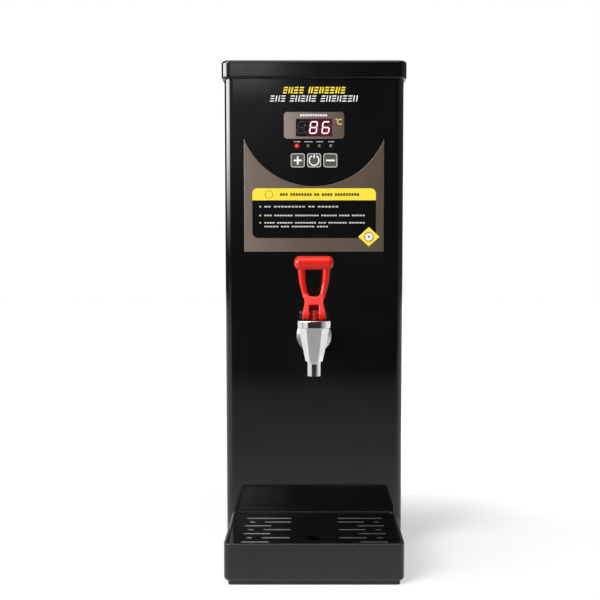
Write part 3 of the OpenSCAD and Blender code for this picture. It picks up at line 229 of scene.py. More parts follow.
class Surface(Graph):
    """A principled material whose colour, gloss and relief come from procedural textures."""

    def __init__(self, name, **sockets):
        self.material = bpy.data.materials.new(name)
        self.material.use_nodes = True
        super().__init__(self.material.node_tree)
        places = self.node("ShaderNodeTexCoord").outputs
        self.place, self.in_box = places["Object"], places["Generated"]
        named = {key.replace("_", " ").title(): value for key, value in sockets.items()}
        named = {"IOR" if key == "Ior" else key: value for key, value in named.items()}
        self.shader = self.node("ShaderNodeBsdfPrincipled", named)
        self.node("ShaderNodeOutputMaterial", {"Surface": self.shader.outputs[0]})
        self.normal = None

    def noise(self, size, detail=2.0, stretch=(1, 1, 1)):
        """Noise with blotches of about this size, drawn out along an axis by stretch."""
        scale = [1 / (size * s) for s in stretch]
        spot = self.node("ShaderNodeMapping", {"Vector": self.place, "Scale": scale}).outputs[0]
        inputs = {"Vector": spot, "Scale": 1.0, "Detail": detail}
        return self.node("ShaderNodeTexNoise", inputs).outputs["Fac"]

    def set(self, socket, value):
        self.feed(self.shader.inputs[socket], value)
        return self

    def colors(self, mask, *stops):
        """Base colour from a mask: stops are (position, colour)."""
        return self.set("Base Color", self.ramp(mask, stops))

    def roughness(self, mask, low, high):
        return self.set("Roughness", self.step(mask, 0.3, 0.7, low, high))

    def relief(self, height, depth):
        """Adds a layer of bump of this depth in metres."""
        inputs = {"Height": height, "Distance": depth}
        if self.normal is not None:
            inputs["Normal"] = self.normal
        self.normal = self.node("ShaderNodeBump", inputs).outputs[0]
        return self.set("Normal", self.normal)


def shades(color, spread):
    """Colour stops a little darker and lighter than a colour."""
    return [(0.3, [c * (1 - spread) for c in color]), (0.7, [c * (1 + spread) for c in color])]


def enamel(name, color, gloss, peel):
    """Stoved gloss paint: faint smears in the gloss and the slight waves of orange peel."""
    s = Surface(name, ior=1.5)
    s.colors(s.noise(60 * MM), *shades(color, 0.25))
    s.roughness(s.noise(35 * MM, 5), gloss * 0.75, gloss * 1.3)
    s.relief(s.noise(2.4 * MM, 1), peel)
    return s.material


def casing_paint():
    return enamel("casing_paint", (0.0034, 0.0034, 0.0036), 0.07, 0.0012 * MM)


def lid_paint():
    return enamel("lid_paint", (0.0028, 0.0028, 0.003), 0.1, 0.0012 * MM)


def powder_coat():
    """Satin powder coat with a fine pebbled grain."""
    s = Surface("panel_paint", ior=1.5)
    s.colors(s.noise(50 * MM), *shades((0.011, 0.011, 0.012), 0.2))
    s.roughness(s.noise(20 * MM, 4), 0.38, 0.5)
    s.relief(s.noise(0.55 * MM, 2), 0.03 * MM)
    return s.material


def moulded(name, color, gloss, grain=0.012 * MM, **sockets):
    """Injection-moulded plastic with a fine spark-eroded grain and faint flow marks."""
    s = Surface(name, ior=1.5, **sockets)
    s.colors(s.noise(25 * MM, 3), *shades(color, 0.12))
    s.roughness(s.noise(14 * MM, 4), gloss * 0.85, gloss * 1.25)
    s.relief(s.noise(0.35 * MM, 2), grain)
    return s.material


def tray_plastic():
    """Black moulded plastic, painted paler along the rim, most at the left, as a painted highlight."""
    s = Surface("tray_plastic", ior=1.5)
    low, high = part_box("drip_tray")
    x, _, z = s.split(s.place)
    # Painted highlight: the rim is paler than the rest, most of all at the left
    rim = s.step(z, high.z - 0.6 * MM, high.z - 0.2 * MM)
    left = s.step(x, low.x + 2.0 * MM, low.x + 0.8 * MM)
    spots = s.noise(5 * MM, 4)
    painted_rim_highlight = s.mix(left, s.ramp(spots, shades((0.028, 0.028, 0.028), 0.4)),
                   s.ramp(spots, shades((0.16, 0.16, 0.158), 0.3)))
    plain = s.ramp(s.noise(25 * MM, 3), shades((0.006, 0.006, 0.0065), 0.12))
    s.set("Base Color", s.mix(rim, plain, painted_rim_highlight))
    s.roughness(s.noise(14 * MM, 4), 0.145, 0.21)
    s.relief(s.noise(0.35 * MM, 2), 0.003 * MM)
    return s.material


def grid_plastic():
    """Black coated sheet: glossy on its faces, pale uncoated metal on the cut walls of the slots that also
    stands in for their highlights; painted paler at the left and darker to the right, and black near the
    middle, as painted light and shade.
    """
    s = Surface("grid_plastic", ior=1.5)
    upright = s.math("ABSOLUTE", s.split(s.node("ShaderNodeNewGeometry").outputs["Normal"])[2])
    x = s.split(s.place)[0]
    # Painted shade: the cut walls near the middle keep the black coat
    off_middle = s.step(s.math("ABSOLUTE", x), 12 * MM, 20 * MM)
    cut = s.math("MULTIPLY", s.step(upright, 0.5, 0.25), off_middle)
    grain = s.noise(0.6 * MM, 2, (8, 1, 1))
    # Painted light: the cut walls are paler at the left and darker to the right
    slot_wall_painted_light = s.mix(s.share(x, -70 * MM, 60 * MM), s.ramp(grain, shades((0.24, 0.24, 0.235), 0.2)),
                 s.ramp(grain, shades((0.07, 0.068, 0.066), 0.2)))
    coat = s.ramp(s.noise(20 * MM, 3), shades((0.0035, 0.0035, 0.004), 0.2))
    s.set("Base Color", s.mix(cut, coat, slot_wall_painted_light))
    s.set("Roughness", s.step(cut, 0, 1, 0.1, 0.4))
    s.relief(s.noise(1.8 * MM, 1), 0.001 * MM)
    return s.material


def bronze(name, *painted_light_tones):
    """Printed metallic film with a fine brushed grain, its colour painted lighter at the left and darker to
    the right as a painted reflection.
    """
    s = Surface(name, metallic=0.35)
    brushed = s.noise(0.5 * MM, 3, (40, 1, 1))
    grain = s.math("MULTIPLY", s.math("SUBTRACT", brushed, 0.5), 0.12)
    # Painted reflection: the colour runs from lighter at the left to darker at the right
    s.colors(s.math("ADD", s.split(s.in_box)[0], grain), *painted_light_tones)
    s.roughness(s.noise(20 * MM, 4), 0.32, 0.42)
    s.relief(brushed, 0.004 * MM)
    return s.material


def plate_bronze():
    return bronze("bronze", (0.0, (0.2, 0.16, 0.135)), (0.4, (0.135, 0.1, 0.077)),
                  (1.0, (0.105, 0.077, 0.054)))


def bezel_bronze():
    return bronze("bezel_bronze", (0.0, (0.33, 0.265, 0.25)), (0.4, (0.2, 0.155, 0.135)),
                  (1.0, (0.115, 0.086, 0.062)))


def wiped(s, gloss):
    """Adds wiped smears and hairline scratches to a metal."""
    s.roughness(s.noise(6 * MM, 5, (1, 1, 3)), gloss * 0.7, gloss * 1.4)
    s.relief(s.noise(0.25 * MM, 2, (1, 1, 12)), 0.0006 * MM)
    return s.material


def plated(name, color, gloss):
    """Polished or plated metal."""
    s = Surface(name, metallic=1.0)
    s.colors(s.noise(9 * MM, 3), *shades(color, 0.04))
    return wiped(s, gloss)


def chrome():
    return plated("chrome", (0.74, 0.74, 0.73), 0.06)


def satin_chrome():
    """Satin plating, painted brighter towards the right as a painted reflection."""
    s = Surface("satin_chrome", metallic=1.0)
    low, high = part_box("tap_escutcheon")
    # Painted reflection: dull at the left, bright at the right
    across = s.share(s.split(s.place)[0], low.x, high.x)
    painted_reflection_tone = s.math("ADD", across, s.math("MULTIPLY", s.noise(9 * MM, 3), 0.1))
    s.colors(painted_reflection_tone, (0.35, (0.22, 0.22, 0.22)), (0.85, (0.7, 0.7, 0.69)))
    return wiped(s, 0.36)


def brass():
    return plated("brass", (0.72, 0.5, 0.2), 0.22)


def stem_brass():
    """Brass painted a deep red as a reflection of the red lever, with a painted highlight down the middle
    and painted shade towards the sides.
    """
    s = Surface("stem_brass", metallic=1.0)
    # Painted highlight down the middle and painted shade at the sides; the deep red is a painted reflection
    # of the lever
    off_middle = s.share(s.math("ABSOLUTE", s.split(s.place)[0]), 0.0, 4 * MM)
    painted_highlight_mask = s.math("ADD", off_middle, s.math("MULTIPLY", s.noise(3 * MM, 3, (1, 1, 3)), 0.1))
    s.colors(painted_highlight_mask, (0.2, (0.85, 0.11, 0.08)), (0.45, (0.42, 0.026, 0.024)))
    return wiped(s, 0.6)


def bright_steel():
    return plated("bright_steel", (0.66, 0.66, 0.67), 0.2)


def brushed_steel():
    """Stainless sheet with a vertical brushed grain."""
    s = Surface("tank_steel", metallic=1.0)
    grain = s.noise(0.4 * MM, 3, (1, 1, 50))
    s.colors(grain, *shades((0.55, 0.55, 0.54), 0.12))
    s.roughness(grain, 0.26, 0.4)
    s.relief(grain, 0.004 * MM)
    return s.material


def heat_sink_metal():
    """Extruded aluminium with drawing lines along the fins."""
    s = Surface("heat_sink_metal", metallic=1.0)
    grain = s.noise(0.5 * MM, 2, (1, 30, 1))
    s.colors(grain, *shades((0.6, 0.61, 0.62), 0.08))
    s.roughness(grain, 0.35, 0.5)
    s.relief(grain, 0.006 * MM)
    return s.material


def lever_red():
    """Glossy moulded red plastic with faint flow marks."""
    s = Surface("lever_red", ior=1.45)
    s.colors(s.noise(12 * MM, 3), *shades((0.63, 0.012, 0.0045), 0.06))
    s.roughness(s.noise(8 * MM, 4), 0.16, 0.24)
    s.relief(s.noise(0.8 * MM, 2), 0.0005 * MM)
    return s.material


def black_rubber():
    """Matt moulded rubber with a dusty bloom."""
    s = Surface("black_rubber", ior=1.45)
    s.colors(s.noise(5 * MM, 4), *shades((0.014, 0.014, 0.014), 0.35))
    s.roughness(s.noise(3 * MM, 4), 0.6, 0.8)
    s.relief(s.noise(0.3 * MM, 3), 0.03 * MM)
    return s.material


def silicone():
    """Milky silicone rubber."""
    s = Surface("silicone", ior=1.41, subsurface_weight=0.2, subsurface_radius=(2 * MM, 2 * MM, 2 * MM))
    s.colors(s.noise(8 * MM, 3), *shades((0.62, 0.6, 0.56), 0.06))
    s.roughness(s.noise(5 * MM, 3), 0.4, 0.55)
    s.relief(s.noise(0.6 * MM, 2), 0.01 * MM)
    return s.material


def circuit_board():
    """Green solder mask over a faint pattern of tracks."""
    s = Surface("circuit_board", ior=1.5)
    cells = s.node("ShaderNodeTexBrick", {"Vector": s.place, "Scale": 180.0, "Mortar Size": 0.06})
    s.colors(cells.outputs["Fac"], (0.0, (0.008, 0.075, 0.022)), (1.0, (0.012, 0.14, 0.04)))
    s.roughness(s.noise(10 * MM, 3), 0.25, 0.4)
    s.relief(cells.outputs["Fac"], 0.02 * MM)
    return s.material


def insulation():
    """Felted foil-faced blanket round the tank."""
    s = Surface("insulation", metallic=0.6)
    crumple = s.noise(9 * MM, 4)
    s.colors(crumple, *shades((0.6, 0.6, 0.58), 0.15))
    s.roughness(crumple, 0.3, 0.5)
    s.relief(crumple, 0.6 * MM)
    return s.material


def key_grey():
    """Grey key with a lighter rim round the sunk field."""
    s = Surface("key_grey", ior=1.5)
    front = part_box("button_power")[0].y
    field = s.step(s.split(s.place)[1], front + 0.1 * MM, front + 0.2 * MM)
    s.colors(field, (0.0, (0.42, 0.41, 0.4)), (1.0, (0.07, 0.063, 0.058)))
    s.roughness(s.noise(4 * MM, 3), 0.35, 0.5)
    s.relief(s.noise(0.3 * MM, 2), 0.003 * MM)
    return s.material


def window_tint():
    """Clear filter with a faint red tint in front of the read-out."""
    s = Surface("window_tint", ior=1.2, transmission_weight=1.0)
    s.colors(s.noise(30 * MM), *shades((0.85, 0.72, 0.74), 0.02))
    s.roughness(s.noise(10 * MM, 4), 0.01, 0.03)
    return s.material


def lamp_lens():
    """Four tinted lenses in a row, the left one lit."""
    s = Surface("lamp_lens", ior=1.49, emission_strength=0.42)
    along = s.split(s.in_box)[0]
    tints = [(0.5, 0.02, 0.015), (0.11, 0.115, 0.05), (0.12, 0.075, 0.045), (0.11, 0.11, 0.11)]
    s.set("Base Color", s.ramp(along, [(i / 4, color) for i, color in enumerate(tints)], constant=True))
    s.set("Emission Color", s.ramp(along, [(0.0, (1.0, 0.1, 0.08)), (0.25, (0, 0, 0))], constant=True))
    s.roughness(s.noise(2 * MM, 3), 0.12, 0.25)
    return s.material


def ink(name, color, gloss=0.4):
    """Screen-printed ink: a faintly uneven film."""
    s = Surface(name, ior=1.5)
    s.colors(s.noise(6 * MM, 4), *shades(color, 0.04))
    s.roughness(s.noise(3 * MM, 3), gloss * 0.9, gloss * 1.2)
    s.relief(s.noise(0.2 * MM, 2), 0.002 * MM)
    return s.material


def glow(name, color, strength):
    """A lit segment of the read-out, a little uneven across its face."""
    s = Surface(name, roughness=0.4, emission_strength=strength)
    s.colors(s.noise(2 * MM, 2), *shades(color, 0.05))
    return s.set("Emission Color", s.ramp(s.noise(1.5 * MM, 1), shades(color, 0.06))).material


def red_haze():
    """The red light that the lit digits spread over the face behind them."""
    s = Surface("red_haze", roughness=0.5, emission_strength=1.0)
    low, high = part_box("display_module")
    across = s.share(s.split(s.place)[0], low.x, high.x)
    across = s.math("ADD", across, s.math("MULTIPLY", s.noise(6 * MM, 2), 0.06))
    s.colors(across, (0.0, (0.006, 0.006, 0.006)), (1.0, (0.02, 0.006, 0.007)))
    haze = [(0.3, (0, 0, 0)), (0.45, (0.04, 0.003, 0.009)), (1.0, (0.1, 0.008, 0.022))]
    return s.set("Emission Color", s.ramp(across, haze)).material


FINISHES = {
    "casing_paint": casing_paint,
    "lid_paint": lid_paint,
    "panel_paint": powder_coat,
    "tray_plastic": tray_plastic,
    "grid_plastic": grid_plastic,
    "bronze": plate_bronze,
    "window_tint": window_tint,
    "lamp_lens": lamp_lens,
    "key_grey": key_grey,
    "chrome": chrome,
    "lever_red": lever_red,
    "stem_brass": stem_brass,
    "brass": brass,
    "bright_steel": bright_steel,
    "tank_steel": brushed_steel,
    "heat_sink_metal": heat_sink_metal,
    "black_rubber": black_rubber,
    "silicone": silicone,
    "circuit_board": circuit_board,
    "black_plastic": lambda: moulded("black_plastic", (0.012, 0.012, 0.013), 0.4),
    "white_plastic": lambda: moulded("white_plastic", (0.68, 0.67, 0.63), 0.38),
    "coil_plastic": lambda: moulded("coil_plastic", (0.03, 0.06, 0.15), 0.4),
    "insulation": insulation,
}


def dress_nodes():
    """Gives every CAD node the finish of its material slot, and two nodes one of their own."""
    finishes = {}
    for node in nodes.values():
        slot = node.data.materials[0].name.split(".")[0]
        if slot not in finishes:
            finishes[slot] = FINISHES[slot]()
        node.data.materials[0] = finishes[slot]
    nodes["tap_escutcheon"].data.materials[0] = satin_chrome()
    nodes["display_bezel"].data.materials[0] = bezel_bronze()
    return finishes


# Pieces

FILM = 0.12 * MM
SINK = 0.02 * MM
WELD = 0.004 * MM


def add_piece(name, mesh, material, body="housing"):
    piece = bpy.data.objects.new(name, mesh)
    mesh.materials.clear()
    mesh.materials.append(material)
    scene.collection.objects.link(piece)
    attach(piece, body)
    return piece


def settled(holder):
    """The mesh that an object's modifiers or curve settings make; the object itself goes."""
    bpy.context.view_layer.update()
    graph = bpy.context.evaluated_depsgraph_get()
    mesh = bpy.data.meshes.new_from_object(holder.evaluated_get(graph))
    bpy.data.objects.remove(holder)
    return mesh


def weld(holder):
    """Joins the split vertices of an imported mesh before other modifiers work on it."""
    holder.modifiers.new("weld", "WELD").merge_threshold = WELD


def box_into(shape, centre, size):
    """Adds a box to a bmesh."""
    fit = Matrix.Translation(centre) @ Matrix.Diagonal((*size, 1))
    bmesh.ops.create_cube(shape, size=1.0, matrix=fit)


def loft(shape, rings):
    """Joins rings of a bmesh's vertices one after the other and closes both ends."""
    for near, far in zip(rings, rings[1:]):
        for k in range(len(near)):
            j = (k + 1) % len(near)
            shape.faces.new((near[k], near[j], far[j], far[k]))
    shape.faces.new(rings[0])
    shape.faces.new(rings[-1])


def mesh_from(shape, name):
    """Turns a bmesh into a mesh whose faces look outwards."""
    bmesh.ops.recalc_face_normals(shape, faces=shape.faces)
    mesh = bpy.data.meshes.new(name)
    shape.to_mesh(mesh)
    shape.free()
    return mesh


def film(name, outlines, face_y, material, body="housing", thickness=FILM):
    """A thin flat layer with these outlines in x and z, on a face that looks forward."""
    curve = bpy.data.curves.new(name, "CURVE")
    curve.dimensions = "2D"
    curve.fill_mode = "BOTH"
    curve.extrude = (thickness + SINK) / 2
    for outline in outlines:
        spline = curve.splines.new("POLY")
        spline.points.add(len(outline) - 1)
        spline.use_cyclic_u = True
        for point, (x, z) in zip(spline.points, outline):
            point.co = (x, z, 0, 1)
    holder = bpy.data.objects.new(name, curve)
    scene.collection.objects.link(holder)
    mesh = settled(holder)
    middle = face_y + SINK - curve.extrude
    mesh.transform(Matrix.Translation((0, middle, 0)) @ Matrix.Rotation(math.pi / 2, 4, "X"))
    shape = bmesh.new()
    shape.from_mesh(mesh)
    bmesh.ops.remove_doubles(shape, verts=shape.verts, dist=0.0005 * MM)
    bmesh.ops.recalc_face_normals(shape, faces=shape.faces)
    shape.to_mesh(mesh)
    shape.free()
    return add_piece(name, mesh, material, body)


def arc(x, z, radius, start, end, count):
    """Points along an arc, angles in degrees."""
    turns = [math.radians(start + (end - start) * i / (count - 1)) for i in range(count)]
    return [(x + radius * math.cos(t), z + radius * math.sin(t)) for t in turns]


def disc(x, z, radius, count=40):
    return arc(x, z, radius, 0, 360 - 360 / count, count)


def ring(x, z, radius, stroke):
    """The two outlines of a ring."""
    return [disc(x, z, radius), disc(x, z, radius - stroke)]


def open_ring(x, z, radius, stroke, start, end):
    """The outline of a ring that is open between its end and its start."""
    return arc(x, z, radius, start, end, 32) + arc(x, z, radius - stroke, end, start, 32)


def block(x, z, width, height, corner=0.0, slant=0.0):
    """A rectangle about a centre, with round corners or leaning to the right."""
    points = []
    for sx, sz, start in ((1, 1, 0), (-1, 1, 90), (-1, -1, 180), (1, -1, 270)):
        px, pz = sx * (width / 2 - corner), sz * (height / 2 - corner)
        points += arc(px, pz, corner, start, start + 90, 7) if corner else [(px, pz)]
    return [(x + px + slant * pz, z + pz) for px, pz in points]


def mark(kind, x, z, width, height, stroke, slant):
    """One plain mark: upright bars side by side, level bars in a stack or a solid bar."""
    if kind == "pair":
        side = (width - stroke) / 2
        return [block(x + turn * side, z, stroke, height, slant=slant) for turn in (-1, 1)]
    if kind == "stack":
        up = (height - stroke) / 2
        return [block(x + slant * turn * up, z + turn * up, width, stroke, slant=slant)
                for turn in (-1, 0, 1)]
    return [block(x, z, width, height, slant=slant)]


def mark_row(left, right, z, height, groups, kinds=("bar",), stroke=0.0, slant=0.0):
    """Outlines of a row of plain marks in groups, with the kinds of mark taken in turn."""
    space, fill = 0.7, 0.74
    cell = (right - left) / (sum(groups) + space * (len(groups) - 1))
    outlines, x, count = [], left + cell / 2, 0
    for group in groups:
        for _ in range(group):
            outlines += mark(kinds[count % len(kinds)], x, z, fill * cell, height, stroke, slant)
            x, count = x + cell, count + 1
        x += space * cell
    return outlines


def face(node):
    """Where the front of a node is."""
    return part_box(node)[0].y


# Read-out

DIGIT_H = 13.2 * MM
DIGIT_W = 8.2 * MM
DIGIT_PITCH = 13 * MM
DIGIT_BAR = 1.25 * MM
DIGIT_LEAN = 0.12
DIGIT_GAP = 0.3 * MM
DIGIT_SHIFT = (-0.6 * MM, 0.4 * MM)
DIGIT_FILM = 0.07 * MM
HAZE_FILM = 0.02 * MM
SEGMENTS = {"8": "abcdefg", "6": "acdefg"}


def segment(letter):
    """One bar of a seven-segment digit about the digit's centre."""
    w, h, t, gap = DIGIT_W / 2, DIGIT_H / 2, DIGIT_BAR, DIGIT_GAP
    flat = {"a": h - t / 2, "g": 0.0, "d": -h + t / 2}
    if letter in flat:
        z, end = flat[letter], w - t / 2 - gap
        return [(-end, z), (-end + t / 2, z + t / 2), (end - t / 2, z + t / 2), (end, z),
                (end - t / 2, z - t / 2), (-end + t / 2, z - t / 2)]
    x = (w - t / 2) * (1 if letter in "bc" else -1)
    low, high = (gap, h - t / 2 - gap) if letter in "bf" else (-h + t / 2 + gap, -gap)
    return [(x, low), (x + t / 2, low + t / 2), (x + t / 2, high - t / 2), (x, high),
            (x - t / 2, high - t / 2), (x - t / 2, low + t / 2)]


def digit(value, x, z):
    bars = [segment(letter) for letter in SEGMENTS[value]]
    return [[(x + px + DIGIT_LEAN * pz, z + pz) for px, pz in bar] for bar in bars]


def make_readout():
    low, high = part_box("display_module")
    x, z = (low.x + high.x) / 2 + DIGIT_SHIFT[0], (low.z + high.z) / 2 + DIGIT_SHIFT[1]
    edges = [(low.x, low.z), (high.x, low.z), (high.x, high.z), (low.x, high.z)]
    film("readout_face", [edges], low.y, red_haze(), thickness=HAZE_FILM)
    lit = glow("segment_lit", (1.0, 0.78, 0.8), 1.6)
    unlit = ink("segment_unlit", (0.11, 0.115, 0.115), 0.3)
    layer = low.y - HAZE_FILM
    film("digit_unlit", digit("8", x - DIGIT_PITCH, z), layer, unlit, thickness=DIGIT_FILM)
    number = digit("8", x, z) + digit("6", x + DIGIT_PITCH, z)
    film("digits_lit", number, layer, lit, thickness=DIGIT_FILM)


# Prints

TITLE_KINDS = ("stack", "pair", "stack", "stack", "pair")
TITLE_LEAN = 0.2
# Each row's colour, left and right end, depth under the lid's top, height, stroke and groups, in mm
TITLE_ROWS = [
    ("yellow", -33, 33.4, 30.9, 6.8, 1.5, (4, 7)),
    ("white", -46.7, 46.4, 39.6, 6.5, 1.2, (3, 5, 7)),
]
# From the end of the row of lamps to the middle of its last lamp, and half the width of each lamp's dashes
LAMP_INSET = 2.5 * MM
LAMP_DASHES = (3.6 * MM, 4.4 * MM, 3.7 * MM, 3.3 * MM)
HALO_RADIUS = 4 * MM
HALO_FILM = 0.03 * MM
KEY_SUNK = 0.3 * MM
KEY_STROKE = 1.7 * MM
PRINT_HALF = 65.4 * MM
# Heights over the plate's lower edge: the top of the band, its lower edge and the bottom of the field
BAND_TOP, BAND_FOOT, FIELD_FOOT = 67 * MM, 54.4 * MM, 14.6 * MM
BAND_CORNER, FIELD_CORNER = 5.3 * MM, 6.2 * MM
FIELD_LEFT = -53 * MM
# Each line's height over the plate's lower edge, its right end and its groups, in mm
FIELD_ROWS = [
    (47.7, 26, (2, 9, 2, 6)),
    (38.4, 54, (3, 7, 9, 6, 4, 5)),
    (30.7, 54, (4, 6, 8, 3, 7, 6)),
    (26.7, 15, (5, 3, 8, 4)),
]
DIAMOND_X, DIAMOND_UP = 58.1 * MM, 15.9 * MM
DIAMOND_W, DIAMOND_H = 11.3 * MM, 10.3 * MM


def make_panel_prints(inks):
    """Plain ornament under the lid, marks on the bezel and dashes over the lamps."""
    panel_y = face("body_shell")
    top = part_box("lid")[1].z
    for color, left, right, down, height, stroke, groups in TITLE_ROWS:
        row = mark_row(left * MM, right * MM, top - down * MM, height * MM, groups,
                       TITLE_KINDS, stroke * MM, TITLE_LEAN)
        film("title_marks_" + color, row, panel_y, inks[color])
    low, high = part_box("display_bezel")
    bezel_y = low.y
    marks = mark_row(left=-15 * MM, right=14 * MM, z=high.z - 3.4 * MM, height=2.3 * MM, groups=(11,))
    film("bezel_marks", marks, bezel_y, inks["white"])
    c_x, c_z = high.x - 4.4 * MM, high.z - 10.2 * MM
    degree = disc(c_x - 3.9 * MM, c_z + 2.6 * MM, radius=1.0 * MM, count=20)
    letter = open_ring(c_x, c_z, radius=3.2 * MM, stroke=1.3 * MM, start=50, end=310)
    film("degree_mark", [degree, letter], bezel_y, inks["gold"])
    lamps_low, lamps_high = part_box("indicator_lamps")
    dash_z = lamps_high.z + 1.9 * MM
    first, last = lamps_low.x + LAMP_INSET, lamps_high.x - LAMP_INSET
    dashes = []
    for i, half in enumerate(LAMP_DASHES):
        x = first + (last - first) * i / (len(LAMP_DASHES) - 1)
        dashes += mark_row(x - half, x + half, dash_z, height=0.9 * MM, groups=(5,))
    film("lamp_dashes", dashes, panel_y, inks["dull_white"])


def make_lamp_halo():
    """The red light that the lit lamp throws on the panel around it."""
    low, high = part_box("indicator_lamps")
    x, z = low.x + LAMP_INSET, (low.z + high.z) / 2
    panel_y = face("body_shell")
    s = Surface("lamp_halo", ior=1.5, emission_strength=1.0)
    away = s.node("ShaderNodeVectorMath", {0: s.place, 1: (x, panel_y, z)}, operation="DISTANCE")
    share = s.share(away.outputs["Value"], 0.0, HALO_RADIUS)
    s.colors(s.noise(3 * MM), *shades((0.0026, 0.0026, 0.0028), 0.2))
    s.roughness(s.noise(3 * MM), 0.06, 0.09)
    fade = [(0.45, (0.3, 0.012, 0.006)), (0.75, (0.07, 0.002, 0.001)), (1.0, (0, 0, 0))]
    s.set("Emission Color", s.ramp(share, fade))
    film("lamp_halo", [disc(x, z, HALO_RADIUS)], panel_y, s.material, thickness=HALO_FILM)


def make_key_symbols(inks):
    """A plus, a ring with a bar and a minus on the sunk fields of the keys."""
    for key in ("plus", "power", "minus"):
        low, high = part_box("button_" + key)
        x, z = (low.x + high.x) / 2, (low.z + high.z) / 2
        if key == "plus":
            long, half = 4.3 * MM, KEY_STROKE / 2
            corners = [(half, long), (half, half), (long, half)]
            quarter = corners + [(px, -pz) for px, pz in reversed(corners)]
            marks = [[(x + px, z + pz) for px, pz in quarter + [(-px, -pz) for px, pz in quarter]]]
        elif key == "power":
            marks = [open_ring(x, z, radius=5.75 * MM, stroke=1.2 * MM, start=117, end=423),
                     block(x, z + 4.05 * MM, width=1.3 * MM, height=3.7 * MM)]
        else:
            marks = [block(x, z, width=9.2 * MM, height=KEY_STROKE)]
        film(key + "_symbol", marks, low.y + KEY_SUNK, inks["bright_white"], key + "_key")


def make_plate_prints(inks):
    """A yellow band over a black field, with plain marks and a diamond at the corner."""
    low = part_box("info_plate")[0]
    half, split_z = PRINT_HALF, low.z + BAND_FOOT
    corner, arc_z = BAND_CORNER, low.z + BAND_TOP - BAND_CORNER
    band = [(-half, split_z), (half, split_z)]
    band += arc(half - corner, arc_z, corner, 0, 90, 9)
    band += arc(-half + corner, arc_z, corner, 90, 180, 9)
    film("plate_band", [band], low.y, inks["yellow"])
    corner, arc_z = FIELD_CORNER, low.z + FIELD_FOOT + FIELD_CORNER
    field = [(half, split_z), (-half, split_z)]
    field += arc(-half + corner, arc_z, corner, 180, 270, 9)
    field += arc(half - corner, arc_z, corner, 270, 360, 9)
    film("plate_field", [field], low.y, inks["black"])
    layer = low.y - FILM
    on_band = ring(x=-47.8 * MM, z=low.z + 60.6 * MM, radius=4.2 * MM, stroke=0.55 * MM)
    film("band_ring", on_band, layer, inks["dark_yellow"])
    heading = mark_row(left=-36.5 * MM, right=48 * MM, z=low.z + 60.5 * MM, height=2.8 * MM,
                       groups=(3, 8, 2, 4, 9))
    film("band_marks", heading, layer, inks["dark"])
    lines = []
    for up, end, groups in FIELD_ROWS:
        lines += mark_row(FIELD_LEFT, end * MM, low.z + up * MM, height=1.5 * MM, groups=groups)
    film("field_marks", lines, layer, inks["dull_white"])
    bullets = [disc(FIELD_LEFT - 4 * MM, low.z + up * MM, radius=0.95 * MM, count=16)
               for up, _, _ in FIELD_ROWS[:3]]
    film("field_bullets", bullets, layer, inks["pale_yellow"])
    x, z = DIAMOND_X, low.z + DIAMOND_UP
    corners = [(x + DIAMOND_W, z), (x, z + DIAMOND_H), (x - DIAMOND_W, z), (x, z - DIAMOND_H)]
    film("diamond", [corners], layer, inks["yellow"])
    film("diamond_disc", [disc(x, z, radius=4.6 * MM)], layer - FILM, inks["white"])
    sign = ring(x, z, radius=4.9 * MM, stroke=0.6 * MM) + [disc(x, z, radius=1.1 * MM, count=16)]
    film("diamond_ring", sign, layer - 2 * FILM, inks["dark"])


def make_prints():
    inks = {
        "yellow": ink("print_yellow", (0.85, 0.64, 0.037), 0.45),
        "white": ink("print_white", (0.72, 0.72, 0.71), 0.45),
        "bright_white": ink("print_bright_white", (0.86, 0.85, 0.84), 0.45),
        "dull_white": ink("print_dull_white", (0.5, 0.5, 0.49), 0.45),
        "pale_yellow": ink("print_pale_yellow", (0.55, 0.5, 0.2), 0.45),
        "dark_yellow": ink("print_dark_yellow", (0.3, 0.2, 0.01), 0.45),
        "dark": ink("print_dark", (0.05, 0.04, 0.012), 0.45),
        "black": moulded("print_black", (0.0035, 0.0035, 0.0035), 0.1, 0.001 * MM),
        "gold": ink("print_gold", (0.62, 0.47, 0.13), 0.4),
    }
    make_panel_prints(inks)
    make_lamp_halo()
    make_key_symbols(inks)
    make_plate_prints(inks)


# Moulded lever and rear details

SOFT_EDGE = 0.35 * MM
# The web in the lever's fork: width, thickness, height and how far it lies behind the pin
WEB_W, WEB_T, WEB_H, WEB_BEHIND = 10.4 * MM, 1.6 * MM, 4.8 * MM, 2.8 * MM
# The pipe thread of the inlet
PIPE_RADIUS = 10.48 * MM
PIPE_PITCH = 1.81 * MM
THREAD_DEPTH = 0.95 * MM
# The dome nut of the cord gland
DOME_LENGTH = 12 * MM
# The louvres of the rear panel: rows, from row to row, from the panel's top to the first one, and the
# width, radius and wall of a hood
HOODS, HOOD_STEP, HOOD_DROP = 9, 11 * MM, 70.4 * MM
HOOD_W, HOOD_RADIUS, HOOD_WALL = 90 * MM, 2.6 * MM, 0.7 * MM


def soften_edges(node):
    """Rounds the sharp edges of a node a little, so that they catch the light."""
    weld(nodes[node])
    soft = nodes[node].modifiers.new("soften", "BEVEL")
    soft.width = SOFT_EDGE
    soft.segments = 2
    soft.limit_method = "ANGLE"
    soft.angle_limit = math.radians(50)


